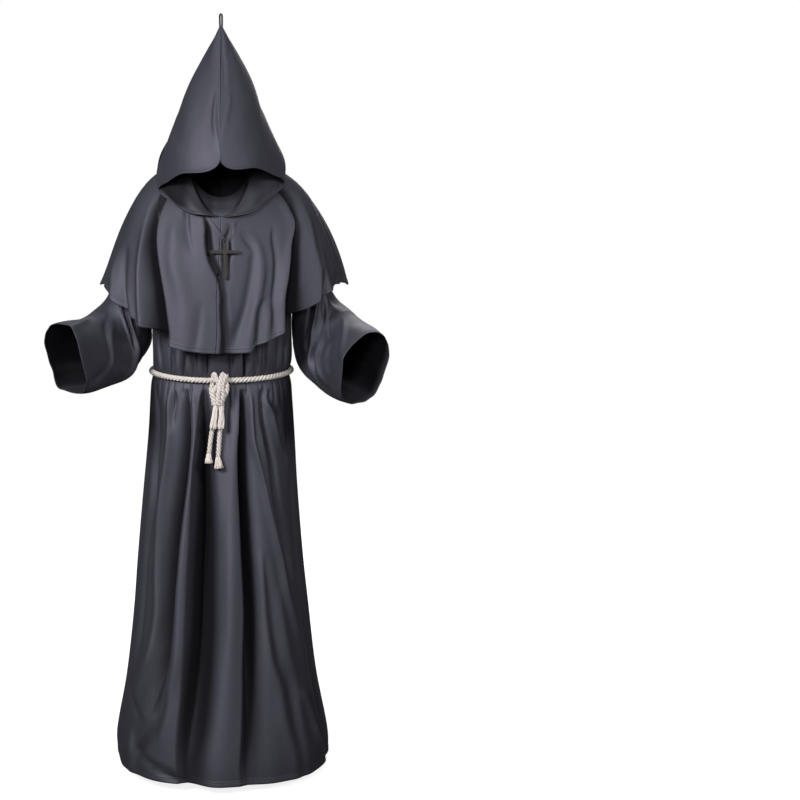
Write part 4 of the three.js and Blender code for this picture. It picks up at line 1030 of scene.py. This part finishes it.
CAPE_STEP = 43.0  # millimetres between two rows at the hem
CAPE_SHADE = (-6, 20)  # depths of its three main folds between which painted shade is mixed in; as it starts below nought, the whole cape is painted a little darker
CAPE_REACH = 240  # of the hem from the body's middle
CAPE_STEPS = np.concatenate([
    np.linspace(0, 7.5, 92, endpoint=False), CAPE_ROWS - np.array(HEM_ROWS[::-1]) / CAPE_STEP])
DRAWN_UP = (  # angles, and how many rows the hem is drawn up there
    (-100, 0), (-80, 0.3), (-70, 0.45), (-50, 0.45), (-34, 0.5), (-30, 0.35), (-26, 0), (10, 0), (12, 0.32),
    (20, 0.55), (28, 0.8), (31, 1.1), (50, 1.15), (66, 1.0), (80, 0.4), (95, 0))


def drawn_up(angle, s):
    """The row of the cape's surface that a thread lies on, where the cloth over the arms is drawn up."""
    return s - np.interp(angle, *zip(*DRAWN_UP)) * (s / CAPE_ROWS) ** 3


def cape_place(edges, lap, guides):
    """The place function of a half of the cape between two angles, which vary with the row."""

    def place(u, v):
        s = np.interp(v, np.linspace(0, 1, len(CAPE_STEPS)), CAPE_STEPS)
        angle = threads(u, s, edges(s), guides)
        off = (CAPE_ROWS - s) * CAPE_STEP
        s = drawn_up(angle, s)
        out, along = folded(CAPE_FOLDS, angle, s)
        calm = smooth(0, 1.2, s)
        draw = np.random.default_rng(21)
        out = out * calm + ripple(draw, angle, s * 45, 0.9) * calm + hem_step(off) + lap(angle, s)
        ring_size = np.hypot(*np.moveaxis(cape_base(angle, s)[..., :2], -1, 0))
        points = cape_base(angle + np.degrees(along * calm / ring_size), s, out)
        # Painted shade: from the three main folds alone, and three times as deep near the neck, where these
        # folds are kept shallow.
        main, _ = folded([RIGHT_FOLD, LEFT_FOLD, SEAM_FOLD], angle, s)
        deep = main * mix(3, 1, smooth(1.5, 3.5, s))
        return points, np.stack([np.radians(angle) * CAPE_REACH, off], axis=-1), deep

    return place


def cape_seam(s):
    """The centre front seam, which hangs a little towards the wearer's right."""
    return np.interp(s, (0, 1.5, 3, 5, 8), (0, -1.5, -3, -4.2, -3.2))


CAPE_SPLIT = 0.06  # half the gap along the centre front seam, in degrees


def cape_left_edges(s):
    return cape_seam(s) + CAPE_SPLIT, 180 + CAPE_LAP["under"] + 0 * s


def cape_right_edges(s):
    return -180 - mix(CAPE_LAP["top"], CAPE_LAP["hem"], s / CAPE_ROWS), cape_seam(s) - CAPE_SPLIT


def flat_lap(angle, s):
    return 0 * s


def raised_lap(angle, s):
    return CAPE_LAP["lift"] * (1 - smooth(CAPE_LAP["full"], CAPE_LAP["from"], angle))


LEFT_GUIDES = ((0.30, LEFT_FOLD, -4), (0.34, LEFT_FOLD, 0), (0.46, LEFT_FOLD, 12))
RIGHT_GUIDES = ((0.56, RIGHT_FOLD, -8), (0.66, RIGHT_FOLD, 0), (0.69, RIGHT_FOLD, 4))
CAPE_DOWN = np.linspace(0, 1, len(CAPE_STEPS))
cloth_piece("cape_left", cape_place(cape_left_edges, flat_lap, LEFT_GUIDES), np.linspace(0, 1, 251),
            CAPE_DOWN, shade=CAPE_SHADE)
cloth_piece("cape_right", cape_place(cape_right_edges, raised_lap, RIGHT_GUIDES), np.linspace(0, 1, 271),
            CAPE_DOWN, shade=CAPE_SHADE)

# ------------------------------------------------------------------------------------------------
# Hood: two mirrored halves sewn together over the crown and down the back, running up to a tall point.
# The front edge folds round the face into a loose cowl, whose rim is turned in and topstitched.
HOOD = table(
    "s backY backZ frontY frontZ left right dip turn",
    [0, 79, 1496, -135, 1304.5, 77, 77, -50, 180],
    [1, 97, 1524, -148, 1293, 109, 109, -36, 161],
    [2, 110, 1550, -152, 1270, 131, 131, -26, 140],
    [3, 117, 1572, -154, 1252, 144, 144, -14, 119],
    [4, 119, 1592, -190, 1218, 152, 151, -2, 101],
    [5, 116, 1610, -204, 1272, 135, 136, 0, 109],
    [6, 108, 1630, -202, 1362, 111, 118, 4, 132],
    [7, 96, 1650, -182, 1427, 95.5, 101, 6, 180],
    [8, 76, 1676, -148, 1515, 75.7, 78.7, 4, 180],
    [9, 48, 1702, -100, 1602, 49.5, 50.6, 2, 180],
    [10, 21, 1722, -50, 1676, 27, 27.5, 0, 180],
    [11, 0, 1745, -8, 1744, 3.6, 3.6, 0, 180],
)
HOOD_SIDE = {"left": {"half": "left", "lift": 9, "wide": 1},
             "right": {"half": "right", "lift": -8, "wide": 0.975}}
HOOD_LEAN = {"out": 5, "from": 1480}
HOOD_SEAM = -1.0  # height of the hood's lower edge above the cape's neckline, which it laps over
HOOD_SPLIT = 0.01  # half the gap along the hood's seams, in millimetres
LOOP_FOOT = 1722  # height at which the seam at the point catches the loop


def hood_shell(u, s, side):
    """A point of a left half's outer face; u runs from the centre back to the front edge."""
    def read(name):
        return curve(HOOD["s"], HOOD[name], s)

    turn = np.radians(u * read("turn"))
    across = np.maximum(np.sin(turn), 0)
    ahead = (1 - np.cos(turn)) / 2
    loose = smooth(1, 4.5, s) * (1 - smooth(6, 11, s)) * across
    drawn_in = np.where(ahead < 0.5, smooth(1.8, 3.6, s) * (1 - smooth(4.6, 7, s)), 0)
    pinch = mix(0.95, 1.2, smooth(0, 3, s)) + 1.6 * drawn_in
    out = np.maximum(read(side["half"]) * across**pinch * mix(1, side["wide"], loose), HOOD_SPLIT)
    level = mix(read("backZ"), read("frontZ"), ahead) - read("dip") * across**2 + side["lift"] * loose
    return np.stack([out, mix(read("backY"), read("frontY"), ahead), level], axis=-1)


def hood_point(u, s, side):
    """A point of a left half's outer face, whose lowest row is drawn to the cape's neckline."""
    seam = cape_base(180 - 180 * u, 0 * s) + (0, 0, HOOD_SEAM)
    pull = np.clip(1 - s, 0, 1) ** 2
    return hood_shell(u, s, side) + (seam - hood_shell(u, 0 * s, side)) * pull[..., None]


# Folds of each half: the angle column is the share from the centre back to the front edge, in percent.
HOOD_NECK_FOLDS = [
    fold((0.6, 24, 7, 0), (2.0, 27, 8, -12), (4.0, 32, 9, -12), (6.0, 38, 9, -4), (7.4, 42, 9, 0),
         lean=0.1),
    fold((0.6, 8, 5, 0), (2, 9, 5, 6), (4, 10, 5, 9), (6.4, 12, 6, 6), (9, 14, 8, 0)),
]
HOOD_FOLDS = {
    "left": [
        fold((7.0, 100, 5, 0), (7.8, 94, 4, 2), (8.4, 88, 4, 2.5), (8.9, 84, 4, 0)),
        fold((8.3, 99, 5, 0), (9.0, 94, 6, -2.5), (9.6, 92, 6, -3), (10.4, 95, 6, 0)),
        *HOOD_NECK_FOLDS,
        fold((0.4, 14, 4, 0), (1.4, 16, 4.5, -12), (3, 18, 5, -16), (5, 20, 6, -12), (7.4, 24, 7, 0)),
    ],
    "right": [
        fold((7.1, 99, 3, 0), (7.8, 94, 3.6, 3), (8.3, 92, 3.6, 3), (8.8, 92, 3, 0)),
        fold((7.2, 88, 4, 0), (7.9, 88, 3.6, -2.5), (8.5, 88, 3.6, -2), (9, 90, 4, 0)),
        *HOOD_NECK_FOLDS,
        fold((0.4, 14, 4, 0), (1.4, 15, 4.5, -12), (3, 17, 5, -17), (5, 20, 6, -13), (7.4, 24, 7, 0)),
    ],
}
HOOD_STEPS = np.concatenate([
    np.linspace(0, 3.2, 34, endpoint=False), np.linspace(3.2, 8, 54, endpoint=False),
    np.linspace(8, 11, 30)])
HOOD_ROUND = ((0, 1, 3, 5, 7, 9, 11), (260, 330, 370, 360, 330, 180, 20))  # rows, and how far round each is
HOOD_STEP = 48  # millimetres between two rows along the face edge
FACE_EDGE = (0.3, 6.75)  # rows between which the front edge is open round the face
HOOD_EDGE = np.array(HEM_ROWS[::-1])
for name, side in (("left", 1), ("right", -1)):
    half_side = HOOD_SIDE[name]
    draw = np.random.default_rng(41 if side > 0 else 42)
    waves = [(draw.integers(1, 7), draw.uniform(0.5, 1.9), draw.uniform(0, 6.3)) for _ in range(10)]

    def place(u, v, name=name, side=side, half_side=half_side, waves=waves):
        s = np.interp(v, np.linspace(0, 1, len(HOOD_STEPS)), HOOD_STEPS[::-1])
        size = np.interp(s, *HOOD_ROUND)
        share = np.where(u < 0.9, u / 0.9 * np.maximum(1 - 20 / size, 0.5),
                         1 - np.interp((u - 0.9) / 0.1, np.linspace(0, 1, len(HEM_ROWS)), HOOD_EDGE) / size)
        share = np.clip(share, 0, 1)
        off = (1 - share) * size
        out, along = folded(HOOD_FOLDS[name], share * 100, s)
        for around, down, start in waves:
            out = out + 0.7 * np.sin(share * 3 * around + s * down + start)
        open_edge = (s > FACE_EDGE[0]) & (s < FACE_EDGE[1])
        calm = smooth(0, 1.2, s) * (1 - smooth(10, 11, s)) * smooth(0, 0.03, share)
        out = out * calm * np.where(open_edge, 1, smooth(0, 0.03, 1 - share))
        out = out + np.where(open_edge, hem_step(off), 0)
        inner_share, inner_s = np.clip(share, 0.004, 0.996), np.clip(s, 0.01, 10.99)
        points = pushed(lambda a, b: hood_point(a, b, half_side), inner_share, inner_s, out, 0 * along,
                        step=(0.003, 0.01))
        points = points + hood_point(share, s, half_side) - hood_point(inner_share, inner_s, half_side)
        points[..., 0] = np.maximum(points[..., 0], HOOD_SPLIT) * side
        points[..., 0] += HOOD_LEAN["out"] * smooth(HOOD_LEAN["from"], LOOP_FOOT, points[..., 2])
        run = s * HOOD_STEP
        # Painted shade: inside the cowl, most on the wearer's right, and a dark line along the closed front
        # seam up to the point.
        cowl = smooth(0.5, 0.65, share) * (1 - smooth(0.94, 0.985, share)) * (1 - smooth(3.6, 4.2, s))
        shade = cowl * (smooth(50, 95, -points[..., 0]) + 0.45 * smooth(50, 85, points[..., 0])
                        * (1 - smooth(95, 120, points[..., 0])))
        shade = shade + np.where(s > 6.8, 0.8 * (1 - smooth(0, 4, off)), 0)
        return points, np.stack([run, np.where(open_edge, off, FAR)], axis=-1), -FOLD_SHADE[1] * shade

    around = np.concatenate([np.linspace(0, 0.9, 84, endpoint=False), np.linspace(0.9, 1, len(HEM_ROWS))])
    cloth_piece("hood_" + name, place, around, np.linspace(0, 1, len(HOOD_STEPS)),
                turned=side > 0)

# ------------------------------------------------------------------------------------------------
# Hanging loop: a strip of the same satin folded into a narrow tape. Its two legs are caught in the seam
# at the point of the hood.
LOOP_STEPS = 59
LOOP = {"foot": LOOP_FOOT, "top": 1774, "foot_half": 1.6, "half_wide": 2.7, "y": -3.5, "width": 4.4,
        "thick": 1.2}
leg = [(-LOOP["foot_half"], LOOP["foot"]),
       (-LOOP["half_wide"] * 0.9, mix(LOOP["foot"], LOOP["top"], 0.45)),
       (-LOOP["half_wide"], LOOP["top"] - 6), (-LOOP["half_wide"] * 0.7, LOOP["top"] - 2),
       (0, LOOP["top"] - 0.7)]
outline = leg + [(-x, z) for x, z in leg[-2::-1]]
line = through([(HOOD_LEAN["out"] + x, LOOP["y"], z) for x, z in outline], LOOP_STEPS + 1)
bm = bmesh.new()
bmesh.ops.create_grid(bm, x_segments=4, y_segments=LOOP_STEPS, size=0.5)
ahead = np.gradient(line, axis=0)
ahead /= np.linalg.norm(ahead, axis=1)[:, None]
for vert in bm.verts:
    row = round((vert.co.y + 0.5) * LOOP_STEPS)
    off = vert.co.x * LOOP["width"]
    legs_apart = LOOP["thick"] * (row / LOOP_STEPS - 0.5) * 2
    vert.co = Vector(in_metres(line[row] + (ahead[row][2] * off, legs_apart, -ahead[row][0] * off)))
bmesh.ops.recalc_face_normals(bm, faces=bm.faces)
tape = Finish("loop_tape", Roughness=0.6, Sheen_Weight=0.2)
tape_place = tape.object_place()
tape_rib = (Wire(tape.node("SeparateXYZ", Vector=tape_place).socket.node.outputs["Z"]) * 4200).sine()
tape_shade = tape.noise(tape_place, 120, 2)
tape.surface(Base_Color=tape.blend(tape_shade, (0.010, 0.010, 0.014, 1), (0.022, 0.021, 0.028, 1)))
tape.bump(tape_rib, 0.0002)
loop = new_piece("hood_loop", bm, tape)
wall = loop.modifiers.new("wall", "SOLIDIFY")
wall.thickness = LOOP["thick"] * MM
wall.offset = 0

# ------------------------------------------------------------------------------------------------
# Rope belt: one turn of three-strand cotton rope round the waist. It rides over the lap at the back,
# and both ends go into the knot in front.
ROPE_RADIUS = 6.9
ROPE_GAP = 1.6  # between the rope and the robe
ROPE_ENDS = (4.6, 352.9)  # the angles at which the rope enters the knot

angle = np.linspace(*ROPE_ENDS, 73)
lap_end = 180 + LAP["degrees"]
over_lap = smooth(LAP["from"] - 5, LAP["full"], angle) * (1 - smooth(lap_end + 3, lap_end + 15, angle))
turn_points = robe_point(angle, BELT_HEIGHT + 0 * angle, ROPE_RADIUS + ROPE_GAP + LAP["lift"] * over_lap)
line = through(turn_points, 560)
bm = bmesh.new()
add_tube(bm, line, laid(ROPE_RADIUS), 30, twist=-run_length(line) / ROPE_PITCH)
new_piece("belt_rope", bm, cotton)

# ------------------------------------------------------------------------------------------------
# Belt knot: the two ends of the belt come up behind, over the belt and down in front, crossing as they
# go, and are drawn tight into a bundle that the free ends hang from.
KNOT_ROPE = 6.2  # the rope's radius where it is drawn tight
KNOT_PATHS = [
    [(-20, -131, 916), (-21, -131, 930), (-20, -138, 938), (-17, -148, 934), (-11, -153, 922),
     (-4, -154, 910)],
    [(0, -131, 916), (0.5, -131, 930), (0, -138, 938), (-2, -148, 934), (-5, -153, 922), (-10, -153, 911)],
    [(8, -131, 916), (8.5, -132, 927), (7.5, -139, 935), (5, -147, 930), (1, -151, 919), (-3, -152, 908)],
    [(18, -128, 923), (9, -138, 926), (0, -144, 924), (-8, -145, 919)],
    [(-30, -128, 923), (-20, -140, 925), (-12, -145, 923), (-4, -146, 917)],
]
WRAP_PATHS = [
    [(-6, -153, 912), (0, -154, 902), (0, -154, 890), (-3, -154, 879), (-6, -153, 869)],
    [(-10, -153, 914), (-19, -153, 904), (-21, -152, 892), (-19, -152, 880), (-16, -152, 869)],
    [(-7, -151, 916), (-8, -156, 904), (-10, -157, 892), (-10, -156, 880), (-10, -154, 869)],
    [(7, -143, 920), (9.5, -147, 911), (8.5, -148, 899), (3, -149, 888), (-1, -150, 878), (-3, -149, 869)],
    [(-22, -141, 918), (-26, -143, 906), (-25, -145, 894), (-22, -147, 882), (-20, -148, 869)],
    [(-6, -138, 915), (-6, -139, 900), (-8, -141, 885), (-9, -143, 869)],
]
for name, paths in (("belt_knot", KNOT_PATHS), ("belt_wrap", WRAP_PATHS)):
    bm = bmesh.new()
    for points in paths:
        line = through(points, 46)
        add_tube(bm, line, laid(KNOT_ROPE), 24, twist=-run_length(line) / ROPE_PITCH)
    new_piece(name, bm, cotton)

# ------------------------------------------------------------------------------------------------
# Ring and cross: a plain cast cross of dark antiqued metal with a hole in its head, on a round wire ring
# that hangs from the cord. Both keep the frame's own shapes.
bronze = Finish("dark_antique_metal", Metallic=0.85)
bronze_place = bronze.object_place()
patina = bronze.noise(bronze_place, 260, 4, 0.6)
pits = bronze.noise(bronze_place, 1500, 2)
bronze.surface(Base_Color=bronze.blend(patina, (0.020, 0.018, 0.017, 1), (0.085, 0.075, 0.066, 1)),
               Roughness=0.35 + patina * 0.3)
bronze.bump(patina * 0.6 + pits * 0.3, 0.0004)
for name in ("necklace_ring", "cross_pendant"):
    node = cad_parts[name]
    node.data.materials.clear()
    node.data.materials.append(bronze.material)

# ------------------------------------------------------------------------------------------------
# Studio: a plain white floor just under the hem and soft lights. The key stands to the left of the
# camera and above it. Each light has its place in metres, its width and its power in watts.
FLOOR_DROP = 12  # millimetres under the hem
FLOOR_HALF = 6

bm = bmesh.new()
bmesh.ops.create_grid(bm, x_segments=1, y_segments=1, size=FLOOR_HALF)
bmesh.ops.translate(bm, verts=bm.verts, vec=(0, 2, cad_low[2] - FLOOR_DROP * MM))
floor_mesh = bpy.data.meshes.new("floor")
bm.to_mesh(floor_mesh)
bm.free()
floor = bpy.data.objects.new("floor", floor_mesh)
bpy.context.scene.collection.objects.link(floor)
paper = Finish("studio_paper", Roughness=0.9, Emission_Strength=1.0, Base_Color=(0.5, 0.5, 0.5, 1))
paper_place = paper.node("VectorMath", {"operation": "LENGTH"}, out="Value",
                         i0=paper.stretched(paper.object_place(), (1, 1, 0)))
paper_share = paper.node("MapRange", {"interpolation_type": "SMOOTHSTEP"}, Value=paper_place, From_Min=0.5,
                         From_Max=2.4)
paper.surface(Emission_Color=paper.blend(paper_share, (0.84, 0.84, 0.84, 1), (1, 1, 1, 1)))
floor_mesh.materials.append(paper.material)
floor.visible_diffuse = False
floor.visible_glossy = False
floor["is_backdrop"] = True

LIGHTS = {
    "key": ((-2.05, -2.5, 1.15), 1.2, 104),
    "fill": ((2.1, -2.4, 1.0), 1.2, 38),
    "front": ((-0.5, -4.1, 0.4), 0.8, 22),
    "top": ((0.2, 0.6, 2.6), 1.4, 20),
    "back": ((0.8, 3.2, 1.2), 2.0, 40),
}
for name, (where, size, watts) in LIGHTS.items():
    lamp = bpy.data.lights.new(name, "AREA")
    lamp.shape = "DISK"
    lamp.size = size
    lamp.energy = watts
    light = bpy.data.objects.new(name, lamp)
    light.location = where
    light.rotation_euler = (-Vector(where)).to_track_quat("-Z", "Y").to_euler()
    bpy.context.scene.collection.objects.link(light)

world = bpy.data.worlds.new("studio")
world.use_nodes = True
bpy.context.scene.world = world
seen = world.node_tree.nodes.new("ShaderNodeLightPath")
soft_light = world.node_tree.nodes["Background"]
soft_light.inputs["Color"].default_value = (1, 1, 1, 1)
soft_light.inputs["Strength"].default_value = 0.05
white = world.node_tree.nodes.new("ShaderNodeBackground")
white.inputs["Color"].default_value = (1, 1, 1, 1)
either = world.node_tree.nodes.new("ShaderNodeMixShader")
world.node_tree.links.new(seen.outputs["Is Camera Ray"], either.inputs[0])
world.node_tree.links.new(soft_light.outputs[0], either.inputs[1])
world.node_tree.links.new(white.outputs[0], either.inputs[2])
world.node_tree.links.new(either.outputs[0], world.node_tree.nodes["World Output"].inputs[0])

bpy.context.scene.view_settings.view_transform = "Standard"

low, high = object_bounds()
